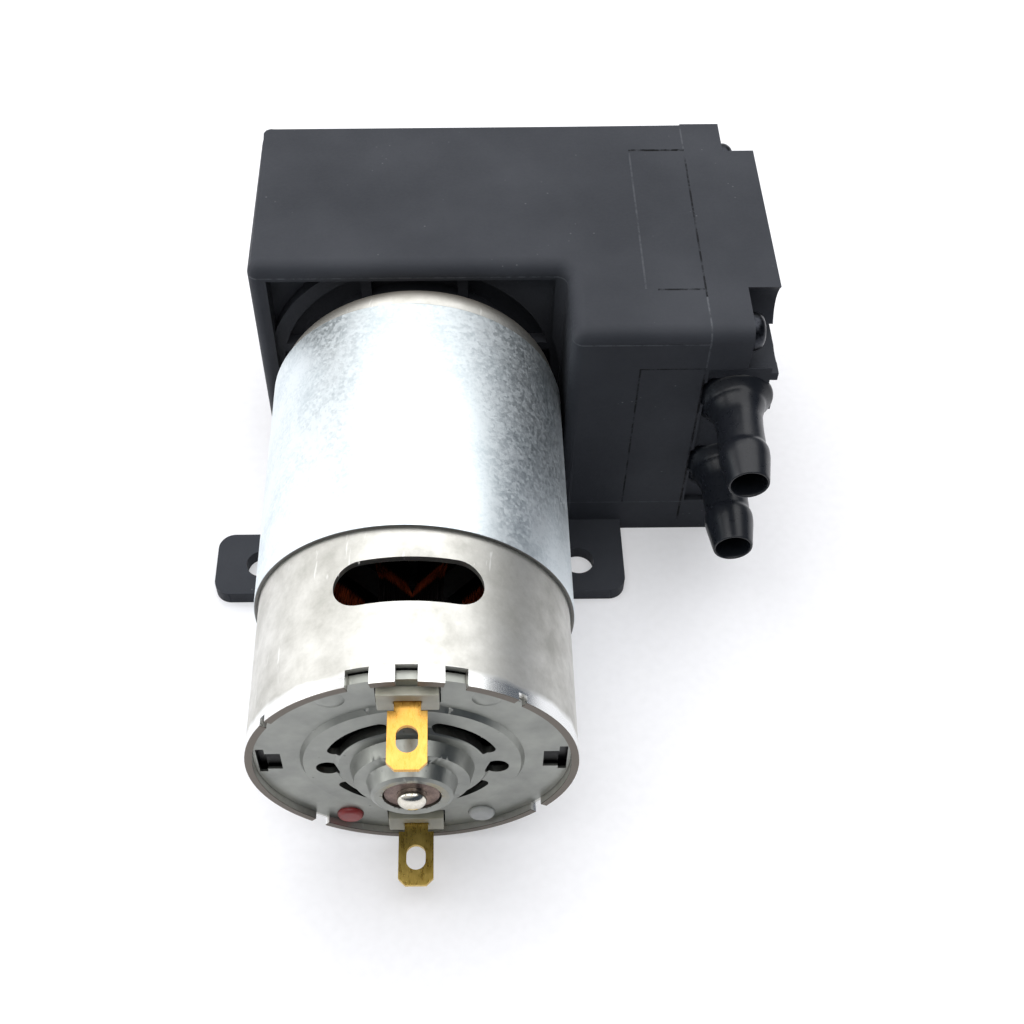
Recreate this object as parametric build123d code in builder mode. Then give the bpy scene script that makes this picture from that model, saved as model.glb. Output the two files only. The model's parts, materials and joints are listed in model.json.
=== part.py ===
from build123d import *
import os
from math import cos, radians, sin

# Diaphragm vacuum pump, millimetres. The origin is the midpoint of the two foot holes, on the mounting
# plane. +Z is up, +Y runs along the motor towards the pump, and +X points to the pump head.

# Motor, driving dimensions
height = 37.7                      # of the pump housing
axis_z = height / 2                # motor axis above the mounting plane
can_r = 17.9
can_wall = 0.8
can_rear = -38.8
motor_seat = 17.9                  # front face of the can, against the housing
shoulder_r = 4.0
boss_r = 6.5
boss_end = 22.4
shaft_r = 1.5875
shaft_rear = -43.65
shaft_front = 35.5
ring_rear, ring_front = -20.2, 12.85
ring_wall = 0.52
bell_y = -38.0                     # outer face of the rear end bell
terminal_z = 14.1                  # above and below the axis
terminal_tip = -46.4
running_gap = 0.03
seat_gap = 0.05                    # screws and pressed pins, in their holes

# Pump, driving dimensions
box_left, box_front = -20.5, 18.6
block_left, block_front = 18.8, 6.85
seam_x = 35.1                      # joint face between housing and head
head_x = 44.2
back_y = 45.8
wall = 2.3
wall_inner = 22.6                  # crank chamber side of the motor wall
cover_seat = 43.6
cover_t = 2.0
head_y = (block_front + back_y) / 2
screw_dy, screw_dz = 31.4, 30.7    # head screw pattern
port_x = 39.6
port_dz = 6.35                     # each port from the axis height
stroke_e = 1.8                     # eccentric offset
rod_w = 5.0

# Feet
foot_x = 27.2
foot_y = 4.85
foot_t = 2.0
foot_hole_x = 21.15
foot_hole_r = 2.06

motor_axis = Axis((0, 0, axis_z), (0, 1, 0))
head_axis = Axis((0, head_y, axis_z), (1, 0, 0))
along_motor = Plane(origin=(0, 0, axis_z), x_dir=(0, 1, 0), z_dir=(1, 0, 0))
along_head = Plane(origin=(0, head_y, axis_z), x_dir=(1, 0, 0), z_dir=(0, -1, 0))


def motor_plane(y):
    # square to the motor axis, X to the right and Z up, facing the rear
    return Plane(origin=(0, y, axis_z), x_dir=(1, 0, 0), z_dir=(0, -1, 0))


def head_plane(x):
    # square to the head axis, Y to the right and Z up, facing +X
    return Plane(origin=(x, head_y, axis_z), x_dir=(0, 1, 0), z_dir=(1, 0, 0))


def turn(plane, axis, points, mode=Mode.ADD):
    # revolve a closed half profile into the part being built
    with BuildSketch(plane) as half:
        with BuildLine():
            Polyline(*points, close=True)
        make_face()
    revolve(half.sketch, axis=axis, mode=mode)


def sector(r_in, r_out, mid, span):
    # a ring sector as a sketch, mid and span in degrees from +X
    with BuildSketch() as piece:
        with BuildLine():
            outer = CenterArc((0, 0), r_out, mid - span / 2, span)
            inner = CenterArc((0, 0), r_in, mid - span / 2, span)
            Line(outer @ 0, inner @ 0)
            Line(outer @ 1, inner @ 1)
        make_face()
    return piece.sketch


def arc_slot(r, width, start, size):
    # a round-ended slot on a circle of radius r, angles in degrees from +X
    with BuildSketch() as piece:
        SlotArc(CenterArc((0, 0), r, start, size), width)
    return piece.sketch


def pan_screw(head_r, head_h, shank_r, length):
    # head seated on the local XY plane, shank along local -Z
    with BuildPart() as screw:
        with BuildSketch():
            Circle(head_r)
        extrude(amount=head_h)
        chamfer(screw.edges().sort_by(Axis.Z)[-1], length=0.3 * head_h)
        with BuildSketch():
            Circle(shank_r)
        extrude(amount=-length)
        with BuildSketch(Plane.XY.offset(head_h)):
            Rectangle(1.1 * head_r, 0.26 * head_r)
            Rectangle(0.26 * head_r, 1.1 * head_r)
        extrude(amount=-0.55 * head_h, mode=Mode.SUBTRACT)
    return screw.part


# ---------------------------------------------------------------- housing
seat_r = 13.9
top_edge_r = 1.8
groove_r = 17.5
rib_r = 19.4
recess = 1.1
pocket_depth = 1.7
web_x, web = 6.0, 1.3
side_web_z = 3.9
frame_left = box_left + wall
frame_half = height / 2 - wall
pilot_r = boss_r + 0.15
motor_screw_x = 12.5
motor_screw_r = 1.5
motor_head_y = 20.8
chamber_left, chamber_right = frame_left + 0.3, 21.2
chamber_half = 15.8
post_r = 3.2
post_x = (chamber_left + 2.5, chamber_right - 2.5)
post_z = chamber_half - 2.5
cover_screw_r = 0.9
cavity_r = 14.4
diaphragm_r = 17.4
rim_t = 1.2
head_screw_r = 1.25
head_screw_len = 16.0
cradle_left = -18.0
slot_half = 4.4
saddle_gap = 0.15

with BuildPart() as pump_housing:
    with BuildSketch():
        with BuildLine():
            Polyline(
                (box_left, box_front),
                (block_left, box_front),
                (block_left, block_front),
                (seam_x, block_front),
                (seam_x, back_y),
                (box_left, back_y),
                close=True,
            )
        make_face()
    extrude(amount=height)
    corners = pump_housing.edges().filter_by(Axis.Z)
    fillet(corners.filter_by_position(Axis.X, box_left - 1, block_left + 1), radius=1.4)
    rim = pump_housing.faces().sort_by(Axis.Z)[-1].edges()
    fillet(rim.filter_by_position(Axis.Y, block_front - 1, box_front + 1.5), radius=top_edge_r)

    # foot ears on a cradle that runs back under the motor
    with BuildSketch():
        RectangleRounded(2 * foot_x, 2 * foot_y, 2.2)
        with Locations(((cradle_left + block_left) / 2, box_front / 2)):
            Rectangle(block_left - cradle_left, box_front + 2)
        with Locations(((block_left + foot_x) / 2, block_front / 2)):
            Rectangle(foot_x - block_left, block_front + 2)
        with Locations((0, 2)):
            Rectangle(2 * slot_half, 20, mode=Mode.SUBTRACT)
        with Locations((0, 12)):
            Circle(slot_half, mode=Mode.SUBTRACT)
        with Locations((-foot_hole_x, 0), (foot_hole_x, 0)):
            Circle(foot_hole_r, mode=Mode.SUBTRACT)
    extrude(amount=foot_t)
    with BuildSketch(motor_plane(-foot_y - 1)):
        Circle(can_r + ring_wall + running_gap + saddle_gap)
    extrude(amount=-(box_front + foot_y + 1), mode=Mode.SUBTRACT)

    # motor wall: seat disc, set-back face, groove, ribs and corner pockets
    with BuildSketch(motor_plane(motor_seat)):
        Circle(seat_r)
    extrude(amount=motor_seat - box_front)
    with BuildSketch(motor_plane(box_front)):
        with Locations(((frame_left + block_left) / 2, 0)):
            Rectangle(block_left - frame_left, 2 * frame_half)
        Circle(seat_r, mode=Mode.SUBTRACT)
    extrude(amount=-recess, mode=Mode.SUBTRACT)
    with BuildSketch(motor_plane(box_front + recess)):
        Circle(groove_r)
        Circle(seat_r, mode=Mode.SUBTRACT)
        with Locations((-web_x, 0), (web_x, 0)):
            Rectangle(web, 3 * groove_r, mode=Mode.SUBTRACT)
        with Locations((0, side_web_z), (0, -side_web_z)):
            Rectangle(3 * groove_r, web, mode=Mode.SUBTRACT)
        Rectangle(3 * groove_r, 2 * frame_half, mode=Mode.INTERSECT)
    extrude(amount=-pocket_depth, mode=Mode.SUBTRACT)
    with BuildSketch(motor_plane(box_front + recess)):
        with Locations(((frame_left - web_x - web) / 2, 0)):
            Rectangle(-web_x - web - frame_left, 2 * frame_half)
        Circle(rib_r, mode=Mode.SUBTRACT)
    extrude(amount=-pocket_depth, mode=Mode.SUBTRACT)

    # motor pilot bore and screw holes
    with BuildSketch(motor_plane(motor_seat)):
        Circle(pilot_r)
        with Locations((-motor_screw_x, 0), (motor_screw_x, 0)):
            Circle(motor_screw_r + 0.1)
    extrude(amount=-(wall_inner - motor_seat), mode=Mode.SUBTRACT)
    with BuildSketch(motor_plane(motor_head_y)):
        with Locations((-motor_screw_x, 0), (motor_screw_x, 0)):
            Circle(3.0)
    extrude(amount=-(wall_inner - motor_head_y), mode=Mode.SUBTRACT)

    # crank chamber with four cover posts, and the seat of the rear cover
    with BuildSketch(motor_plane(wall_inner)):
        with Locations(((chamber_left + chamber_right) / 2, 0)):
            Rectangle(chamber_right - chamber_left, 2 * chamber_half)
        for x in post_x:
            with Locations((x, post_z), (x, -post_z)):
                Circle(post_r, mode=Mode.SUBTRACT)
    extrude(amount=-(cover_seat - wall_inner), mode=Mode.SUBTRACT)
    with BuildSketch(motor_plane(cover_seat)):
        with Locations(((chamber_left + chamber_right) / 2, 0)):
            RectangleRounded(chamber_right - chamber_left + 2.4, 2 * chamber_half + 2.4, 2.0)
    extrude(amount=-(back_y - cover_seat), mode=Mode.SUBTRACT)
    with BuildSketch(motor_plane(cover_seat)):
        for x in post_x:
            with Locations((x, post_z), (x, -post_z)):
                Circle(cover_screw_r + seat_gap)
    extrude(amount=8.5, mode=Mode.SUBTRACT)

    # diaphragm cavity, its rim seat and the head screw holes
    with BuildSketch(head_plane(chamber_right)):
        Circle(cavity_r)
    extrude(amount=seam_x - rim_t - chamber_right, mode=Mode.SUBTRACT)
    with BuildSketch(head_plane(seam_x - rim_t)):
        Circle(diaphragm_r + 0.1)
    extrude(amount=rim_t, mode=Mode.SUBTRACT)
    with BuildSketch(head_plane(seam_x)):
        with GridLocations(screw_dy, screw_dz, 2, 2):
            Circle(head_screw_r + seat_gap)
    extrude(amount=-(head_screw_len - 4.5), mode=Mode.SUBTRACT)

with BuildPart() as rear_cover:
    with BuildSketch(motor_plane(cover_seat)):
        with Locations(((chamber_left + chamber_right) / 2, 0)):
            RectangleRounded(chamber_right - chamber_left + 2.1, 2 * chamber_half + 2.1, 1.85)
        for x in post_x:
            with Locations((x, post_z), (x, -post_z)):
                Circle(cover_screw_r + 0.2, mode=Mode.SUBTRACT)
    extrude(amount=-cover_t)
    chamfer(rear_cover.faces().sort_by(Axis.Y)[-1].outer_wire().edges(), length=0.35)
    with BuildSketch(motor_plane(cover_seat + cover_t - 1.1)):
        for x in post_x:
            with Locations((x, post_z), (x, -post_z)):
                Circle(2.2)
    extrude(amount=-1.1, mode=Mode.SUBTRACT)

with BuildPart() as rear_cover_screws:
    for x in post_x:
        for z in (-post_z, post_z):
            with Locations(Plane(origin=(x, cover_seat + cover_t - 1.1, axis_z + z), z_dir=(0, 1, 0))):
                add(pan_screw(2.0, 1.05, cover_screw_r, 8.5))

# ---------------------------------------------------------------- pump head and valves
flange_x = 40.2                    # floor of the scallops round the screw heads
inner_plate_t, outer_plate_t, gasket_t = 1.2, 1.8, 0.5
outer_plate_x = seam_x + inner_plate_t
gasket_x = outer_plate_x + outer_plate_t
chamber_x = gasket_x + gasket_t
chamber_depth = 3.4
chamber_r = 14.0
plate_r = 17.2
divider = 2.4
face_step = 0.9
face_half = 12.7
tip_y = -5.8
bore_r = 2.1
tip_r, flare_r, neck_r, collar_r = 2.5, 3.05, 2.6, 4.1
flare_y, land_y, neck_y = -1.9, -0.9, -0.4
valve_r, valve_t, valve_lift = 3.3, 0.6, 0.6
pocket_r = 4.6
vent_r, vent_ring = 0.8, 3.75

front_notch = (-15.52, 15.8, 4.85)     # across, up from the axis and radius of the scallops
back_notch = (screw_dy / 2, screw_dz / 2, 3.95)

with BuildPart() as pump_head:
    with BuildSketch(head_plane(seam_x)):
        Rectangle(back_y - block_front, height)
    extrude(amount=head_x - seam_x)
    fillet(pump_head.edges().filter_by(Axis.X).group_by(Axis.Y)[0].sort_by(Axis.Z)[-1], radius=top_edge_r)

    # corner scallops, each open to the corner
    half_w, half_h = (back_y - block_front) / 2, height / 2
    with BuildSketch(head_plane(flange_x)):
        for across, up, r in (front_notch, back_notch):
            side = 1 if across > 0 else -1
            for level in (-1, 1):
                with Locations((across, level * up)):
                    Circle(r)
                with Locations((side * (abs(across) + half_w + 1) / 2, level * (up + half_h + 1) / 2)):
                    Rectangle(half_w + 1 - abs(across), half_h + 1 - up)
    extrude(amount=head_x - flange_x, mode=Mode.SUBTRACT)

    # set-back outer face with its stiffening ribs, and set-back front face between the flanges
    with BuildSketch(head_plane(head_x)):
        Rectangle(2 * half_w + 2, 2 * face_half)
        with GridLocations(0, 5.3, 1, 5):
            Rectangle(2 * half_w - 1.2, 1.2, mode=Mode.SUBTRACT)
    extrude(amount=-face_step, mode=Mode.SUBTRACT)
    with BuildSketch(motor_plane(block_front)):
        with Locations(((seam_x + head_x) / 2 + 0.4, 0)):
            Rectangle(head_x - seam_x, 2 * face_half)
    extrude(amount=-0.8, mode=Mode.SUBTRACT)

    # valve plate recess and the two air chambers
    with BuildSketch(head_plane(seam_x)):
        Circle(plate_r + 0.1)
    extrude(amount=chamber_x - seam_x, mode=Mode.SUBTRACT)
    with BuildSketch(head_plane(chamber_x)):
        Circle(chamber_r)
        Rectangle(3 * chamber_r, divider, mode=Mode.SUBTRACT)
    extrude(amount=chamber_depth, mode=Mode.SUBTRACT)
    with BuildSketch(head_plane(seam_x)):
        with GridLocations(screw_dy, screw_dz, 2, 2):
            Circle(head_screw_r + 0.2)
    extrude(amount=head_x - seam_x, mode=Mode.SUBTRACT)

    # barbed ports with round collars
    for up in (-port_dz, port_dz):
        port = Plane(origin=(port_x, 0, axis_z + up), x_dir=(0, 1, 0), z_dir=(1, 0, 0))
        with BuildSketch(port) as barb:
            with BuildLine():
                Polyline(
                    (tip_y, 0),
                    (tip_y, tip_r - 0.25),
                    (tip_y + 0.25, tip_r),
                    (flare_y, flare_r),
                    (land_y, flare_r),
                    (neck_y, neck_r),
                    (block_front - 4.0, neck_r),
                    (block_front - 3.2, neck_r + 0.2),
                    (block_front - 2.2, collar_r - 0.8),
                    (block_front - 1.2, collar_r - 0.5),
                    (block_front - 0.5, collar_r - 0.4),
                    (block_front - 0.1, collar_r),
                    (block_front + 1.4, collar_r),
                    (block_front + 1.4, 0),
                    close=True,
                )
            make_face()
        revolve(barb.sketch, axis=Axis((port_x, 0, axis_z + up), (0, 1, 0)))
    with BuildSketch(motor_plane(tip_y)):
        with Locations((port_x, port_dz), (port_x, -port_dz)):
            Circle(bore_r)
    extrude(amount=tip_y - (head_y - chamber_r + 3), mode=Mode.SUBTRACT)

with BuildPart() as head_screws:
    for y in (-screw_dy / 2, screw_dy / 2):
        for z in (-screw_dz / 2, screw_dz / 2):
            with Locations(Plane(origin=(flange_x, head_y + y, axis_z + z), z_dir=(1, 0, 0))):
                add(pan_screw(2.75, 1.9, head_screw_r, head_screw_len))

with BuildPart() as head_gasket:
    with BuildSketch(head_plane(gasket_x)):
        Circle(plate_r)
        for middle in (90, 270):
            add(sector(divider, chamber_r, middle, 166), mode=Mode.SUBTRACT)
    extrude(amount=gasket_t)

with BuildPart() as outer_valve_plate:
    with BuildSketch(head_plane(outer_plate_x)):
        Circle(plate_r)
        with Locations((0, port_dz)):
            Circle(bore_r, mode=Mode.SUBTRACT)
        with Locations((0, -port_dz)):
            with PolarLocations(vent_ring, 4, start_angle=45):
                Circle(vent_r, mode=Mode.SUBTRACT)
    extrude(amount=outer_plate_t)
    with BuildSketch(head_plane(outer_plate_x)):
        with Locations((0, port_dz), (0, -port_dz)):
            Circle(pocket_r)
    extrude(amount=valve_t + valve_lift, mode=Mode.SUBTRACT)

with BuildPart() as inner_valve_plate:
    with BuildSketch(head_plane(seam_x)):
        Circle(plate_r)
        with Locations((0, -port_dz)):
            Circle(bore_r, mode=Mode.SUBTRACT)
        with Locations((0, port_dz)):
            with PolarLocations(vent_ring, 4, start_angle=45):
                Circle(vent_r, mode=Mode.SUBTRACT)
    extrude(amount=inner_plate_t)

with BuildPart() as inlet_valve:
    with BuildSketch(head_plane(outer_plate_x + valve_lift)):
        with Locations((0, port_dz)):
            Circle(valve_r)
    extrude(amount=valve_t)

with BuildPart() as outlet_valve:
    with BuildSketch(head_plane(outer_plate_x)):
        with Locations((0, -port_dz)):
            Circle(valve_r)
    extrude(amount=valve_t)

# ---------------------------------------------------------------- diaphragm and its clamp
clamp_front = seam_x - 0.3         # at the top of the stroke
clamp_t, disc_t, rubber_t = 1.2, 2.0, 1.2
rubber_front = clamp_front - clamp_t
rubber_back = rubber_front - rubber_t
disc_back = rubber_back - disc_t
clamp_r, disc_r = 8.4, 8.8
roll_r = cavity_r - 0.3
hole_r = 1.55

with BuildPart() as diaphragm:
    turn(along_head, head_axis, [
        (rubber_front, hole_r),
        (rubber_back, hole_r),
        (rubber_back, disc_r + 0.2),
        (rubber_back - 0.6, 10.6),
        (rubber_back - 0.6, 12.6),
        (seam_x - rim_t, roll_r),
        (seam_x - rim_t, diaphragm_r),
        (seam_x, diaphragm_r),
        (seam_x, roll_r),
        (rubber_front - 0.4, 12.4),
        (rubber_front - 0.4, 10.4),
        (rubber_front, clamp_r + 0.6),
    ])

with BuildPart() as diaphragm_backing_disc:
    turn(along_head, head_axis, [
        (disc_back, hole_r),
        (disc_back, disc_r - 1.0),
        (disc_back + 0.9, disc_r),
        (rubber_back - 0.4, disc_r),
        (rubber_back, disc_r - 0.5),
        (rubber_back, hole_r),
    ])

with BuildPart() as diaphragm_clamp_disc:
    turn(along_head, head_axis, [
        (rubber_front, hole_r),
        (rubber_front, clamp_r - 0.3),
        (rubber_front + 0.3, clamp_r),
        (clamp_front - 0.4, clamp_r),
        (clamp_front, clamp_r - 0.4),
        (clamp_front, hole_r + 1.25),
        (clamp_front - 1.1, hole_r + 0.15),
    ])

with BuildPart() as diaphragm_screw:
    turn(along_head, head_axis, [
        (clamp_front - 10.5, 0),
        (clamp_front - 10.5, 0.9),
        (clamp_front - 10.0, 1.45),
        (clamp_front - 1.15, 1.45),
        (clamp_front - 0.1, hole_r + 1.0),
        (clamp_front - 0.1, 0),
    ])
    with BuildSketch(head_plane(clamp_front - 0.1)):
        Rectangle(2.8, 0.6)
        Rectangle(0.6, 2.8)
    extrude(amount=-0.8, mode=Mode.SUBTRACT)

# ---------------------------------------------------------------- crank: rod, bearing, eccentric
rod_y = head_y - rod_w / 2
journal_r = 5.0
inner_ring_r = 6.2
outer_ring_r = (8.3, 9.5)
ball_r, ball_pitch, ball_count = 1.03, 7.25, 7
big_end_r = 12.0
small_end_r = 3.4
small_end_x = disc_back - 5.2

with BuildPart() as connecting_rod:
    with BuildSketch(motor_plane(rod_y)):
        with Locations((stroke_e, 0)):
            Circle(big_end_r)
        with BuildLine():
            Polyline((stroke_e, 5.2), (small_end_x + 1, 3.0), (small_end_x + 1, -3.0), (stroke_e, -5.2), close=True)
        make_face()
        with Locations((stroke_e, 0)):
            Circle(outer_ring_r[1] + 0.01, mode=Mode.SUBTRACT)
    extrude(amount=-rod_w)
    for face_y, way in ((rod_y, -1), (rod_y + rod_w, 1)):
        with BuildSketch(motor_plane(face_y)):
            with Locations((19.2, 0)):
                Trapezoid(7.0, 4.6, 87.5, rotation=-90)
        extrude(amount=way * 1.4, mode=Mode.SUBTRACT)
    with BuildSketch(head_plane(small_end_x)):
        Circle(small_end_r)
    extrude(amount=disc_back - small_end_x)
    with BuildSketch(head_plane(disc_back)):
        Circle(1.45)
    extrude(amount=-6.2, mode=Mode.SUBTRACT)

ring_plane = Plane(origin=(stroke_e, rod_y, axis_z), x_dir=(1, 0, 0), z_dir=(0, -1, 0))

with BuildPart() as bearing_outer_ring:
    with BuildSketch(ring_plane):
        Circle(outer_ring_r[1])
        Circle(outer_ring_r[0], mode=Mode.SUBTRACT)
    extrude(amount=-rod_w)

with BuildPart() as bearing_inner_ring:
    with BuildSketch(ring_plane):
        Circle(inner_ring_r)
        Circle(journal_r, mode=Mode.SUBTRACT)
    extrude(amount=-rod_w)

with BuildPart() as bearing_balls:
    for k in range(ball_count):
        turn_by = radians(360 * k / ball_count)
        centre = (stroke_e + ball_pitch * cos(turn_by), head_y, axis_z + ball_pitch * sin(turn_by))
        turn(Plane(origin=centre, x_dir=(0, 1, 0), z_dir=(1, 0, 0)), Axis(centre, (0, 1, 0)), [
            (-ball_r, 0),
            (-0.7 * ball_r, 0.7 * ball_r),
            (0, ball_r),
            (0.7 * ball_r, 0.7 * ball_r),
            (ball_r, 0),
        ])

weight_y = rod_y + rod_w + 0.6
weight_t = 5.0
weight_r = 11.5
hub_r = 5.2

with BuildPart() as eccentric:
    with BuildSketch(motor_plane(rod_y - 0.4)):
        with Locations((stroke_e, 0)):
            Circle(journal_r - 0.01)
    extrude(amount=-(rod_w + 0.4))
    with BuildSketch(motor_plane(rod_y + rod_w)):
        with Locations((stroke_e, 0)):
            Circle(journal_r + 0.9)
    extrude(amount=-(weight_y - rod_y - rod_w))
    with BuildSketch(motor_plane(weight_y)):
        add(sector(hub_r - 2, weight_r, 180, 200))
        Circle(hub_r + 0.7)
    extrude(amount=-weight_t)
    with BuildSketch(motor_plane(rod_y - 1)):
        Circle(shaft_r + 0.01)
    extrude(amount=-(weight_y + weight_t - rod_y + 2), mode=Mode.SUBTRACT)
    with BuildSketch(Plane.YZ.offset(hub_r + 1)):
        with Locations((weight_y + weight_t / 2, axis_z)):
            Circle(1.5)
    extrude(amount=-(hub_r + 1), mode=Mode.SUBTRACT)

with BuildPart() as eccentric_grub_screw:
    with BuildSketch(Plane.YZ.offset(shaft_r + 0.05)):
        with Locations((weight_y + weight_t / 2, axis_z)):
            Circle(1.45)
    extrude(amount=3.6)
    with BuildSketch(Plane.YZ.offset(shaft_r + 3.65)):
        with Locations((weight_y + weight_t / 2, axis_z)):
            RegularPolygon(0.85, 6)
    extrude(amount=-1.4, mode=Mode.SUBTRACT)

# ---------------------------------------------------------------- motor case
can_in = can_r - can_wall
window_y = (-29.35, -23.85)
window_w = 15.7
tapped_r = motor_screw_r + seat_gap
# rim notches: angle from the top, width in degrees, depth
rim_notches = ((-16, 8, 2.0), (0, 7.2, 2.0), (16, 7.6, 2.0), (-57, 3.4, 0.9), (40, 3.4, 0.9))
rim_notches += ((127, 6, 0.9), (-141, 6, 0.9))

with BuildPart() as can_space:
    with BuildSketch(motor_plane(can_rear)):
        Circle(can_in)
    extrude(amount=can_rear - motor_seat + can_wall)
    fillet(can_space.edges().sort_by(Axis.Y)[-1], radius=shoulder_r - can_wall)

with BuildPart() as motor_can:
    with BuildSketch(motor_plane(can_rear)):
        Circle(can_r)
    extrude(amount=can_rear - motor_seat)
    fillet(motor_can.edges().sort_by(Axis.Y)[-1], radius=shoulder_r)
    with BuildSketch(motor_plane(motor_seat)):
        Circle(boss_r)
    extrude(amount=motor_seat - boss_end)
    chamfer(motor_can.edges().sort_by(Axis.Y)[-1], length=0.5)
    add(can_space.part, mode=Mode.SUBTRACT)
    with BuildSketch(motor_plane(motor_seat - can_wall)):
        Circle(5.0)
    extrude(amount=motor_seat - can_wall - boss_end + 1.0, mode=Mode.SUBTRACT)
    with BuildSketch(motor_plane(boss_end - 1.0)):
        Circle(2.6)
    extrude(amount=-2.0, mode=Mode.SUBTRACT)
    with BuildSketch(motor_plane(motor_seat - 2)):
        with Locations((-motor_screw_x, 0), (motor_screw_x, 0)):
            Circle(tapped_r)
    extrude(amount=-3, mode=Mode.SUBTRACT)
    with BuildSketch(Plane.XY.offset(axis_z)):
        with Locations((0, sum(window_y) / 2)):
            SlotOverall(window_w, window_y[1] - window_y[0])
    extrude(amount=2 * can_r, both=True, mode=Mode.SUBTRACT)
    for angle, width, depth in rim_notches:
        with BuildSketch(motor_plane(can_rear - 1)):
            add(sector(can_in - 1, can_r + 1, 90 - angle, width))
        extrude(amount=-(depth + 1), mode=Mode.SUBTRACT)

with BuildPart() as flux_ring:
    with BuildSketch(motor_plane(ring_rear)):
        Circle(can_r + running_gap + ring_wall)
        Circle(can_r + running_gap, mode=Mode.SUBTRACT)
        with Locations((0, -can_r)):
            Rectangle(0.4, 3, mode=Mode.SUBTRACT)
    extrude(amount=-(ring_front - ring_rear))

bell_r = can_in - 0.05
slot_r, slot_w = 8.8, 1.5
post_at = (7.55, -13.1)
post_d = 2.9
insulator_w, insulator_h = 6.3, 3.0
bearing_r = 3.15
bushing_bore = shaft_r + 0.03

with BuildPart() as end_bell:
    turn(along_motor, motor_axis, [
        (bell_y, bell_r),
        (bell_y, 12.1),
        (bell_y - 0.55, 11.7),
        (bell_y - 0.55, 8.4),
        (bell_y - 1.05, 7.9),
        (bell_y - 1.05, 6.7),
        (bell_y - 2.6, 6.2),
        (bell_y - 2.7, 4.9),
        (bell_y - 4.2, 4.4),
        (bell_y - 4.45, 4.0),
        (bell_y - 4.3, bearing_r),
        (bell_y + 1.0, bearing_r),
        (bell_y + 1.0, bell_r),
    ])
    with BuildSketch(motor_plane(bell_y - 6)):
        for start, size in ((22, 48), (110, 48), (-148, 48), (-80, 48)):
            add(arc_slot(slot_r, slot_w, start, size))
        with Locations((-9.1, -0.6), (9.1, -0.6)):
            Circle(1.3)
        with Locations((-16.2, 0.2), (16.2, 0.2)):
            Rectangle(0.9, 5.0)
        with Locations((-post_at[0], post_at[1]), post_at):
            Circle(post_d / 2 + 0.1)
        with Locations((0, terminal_z), (0, -terminal_z)):
            Rectangle(insulator_w + 0.3, insulator_h + 0.3)
    extrude(amount=-8, mode=Mode.SUBTRACT)
    with BuildSketch(motor_plane(bell_y)):
        with Locations((-15.0, 0), (15.0, 0)):
            Rectangle(1.8, 3.4)
    extrude(amount=-0.5, mode=Mode.SUBTRACT)

with BuildPart() as rear_bearing:
    turn(along_motor, motor_axis, [
        (bell_y - 4.1, bushing_bore),
        (bell_y - 4.1, bearing_r - 0.2),
        (bell_y - 3.9, bearing_r - 0.01),
        (bell_y + 1.0, bearing_r - 0.01),
        (bell_y + 1.0, bushing_bore),
    ])

with BuildPart() as front_bearing:
    turn(along_motor, motor_axis, [
        (motor_seat - can_wall, bushing_bore),
        (motor_seat - can_wall, 4.97),
        (boss_end - 1.05, 4.97),
        (boss_end - 1.05, bushing_bore),
    ])

with BuildPart() as motor_screws:
    for x in (-motor_screw_x, motor_screw_x):
        with Locations(Plane(origin=(x, motor_head_y, axis_z), z_dir=(0, 1, 0))):
            add(pan_screw(2.75, 1.65, motor_screw_r, 6.0))

# ---------------------------------------------------------------- stator, brushes and terminals
magnet_in = 12.95
magnet_ends = (-20.0, 11.0)
card_y, card_t = bell_y + 1.05, 2.0
brush_y = (-33.4, -30.6)
com_r = 4.0

with BuildPart() as magnets:
    with BuildSketch(motor_plane(magnet_ends[0])):
        for middle in (0, 180):
            add(sector(magnet_in, can_in - running_gap, middle, 124))
    extrude(amount=magnet_ends[0] - magnet_ends[1])

with BuildPart() as magnet_clips:
    with BuildSketch(motor_plane(magnet_ends[0] + 6)):
        for middle in (90, 270):
            add(sector(can_in - 0.7, can_in - 0.2, middle, 54))
            for end in (middle - 26.2, middle + 26.2):
                add(sector(magnet_in + 1.6, can_in - 0.2, end, 1.7))
    extrude(amount=-19)

with BuildPart() as brush_card:
    with BuildSketch(motor_plane(card_y)):
        Circle(can_in - 0.3)
        Circle(8.0, mode=Mode.SUBTRACT)
        with Locations((0, terminal_z), (0, -terminal_z)):
            Rectangle(2.8, 0.6, mode=Mode.SUBTRACT)
    extrude(amount=-card_t)
    with BuildSketch(motor_plane(bell_y - 1.0)):
        with Locations((0, terminal_z), (0, -terminal_z)):
            Rectangle(insulator_w, insulator_h)
            Rectangle(2.8, 0.6, mode=Mode.SUBTRACT)
        with Locations((-post_at[0], post_at[1]), post_at):
            Circle(post_d / 2)
    extrude(amount=-(card_y - bell_y + 1.0))
    with BuildSketch(motor_plane(card_y + card_t)):
        with Locations((9.0, 10.0), (-9.0, -10.0)):
            Circle(1.2)
    extrude(amount=-(brush_y[1] - card_y - card_t))

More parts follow.
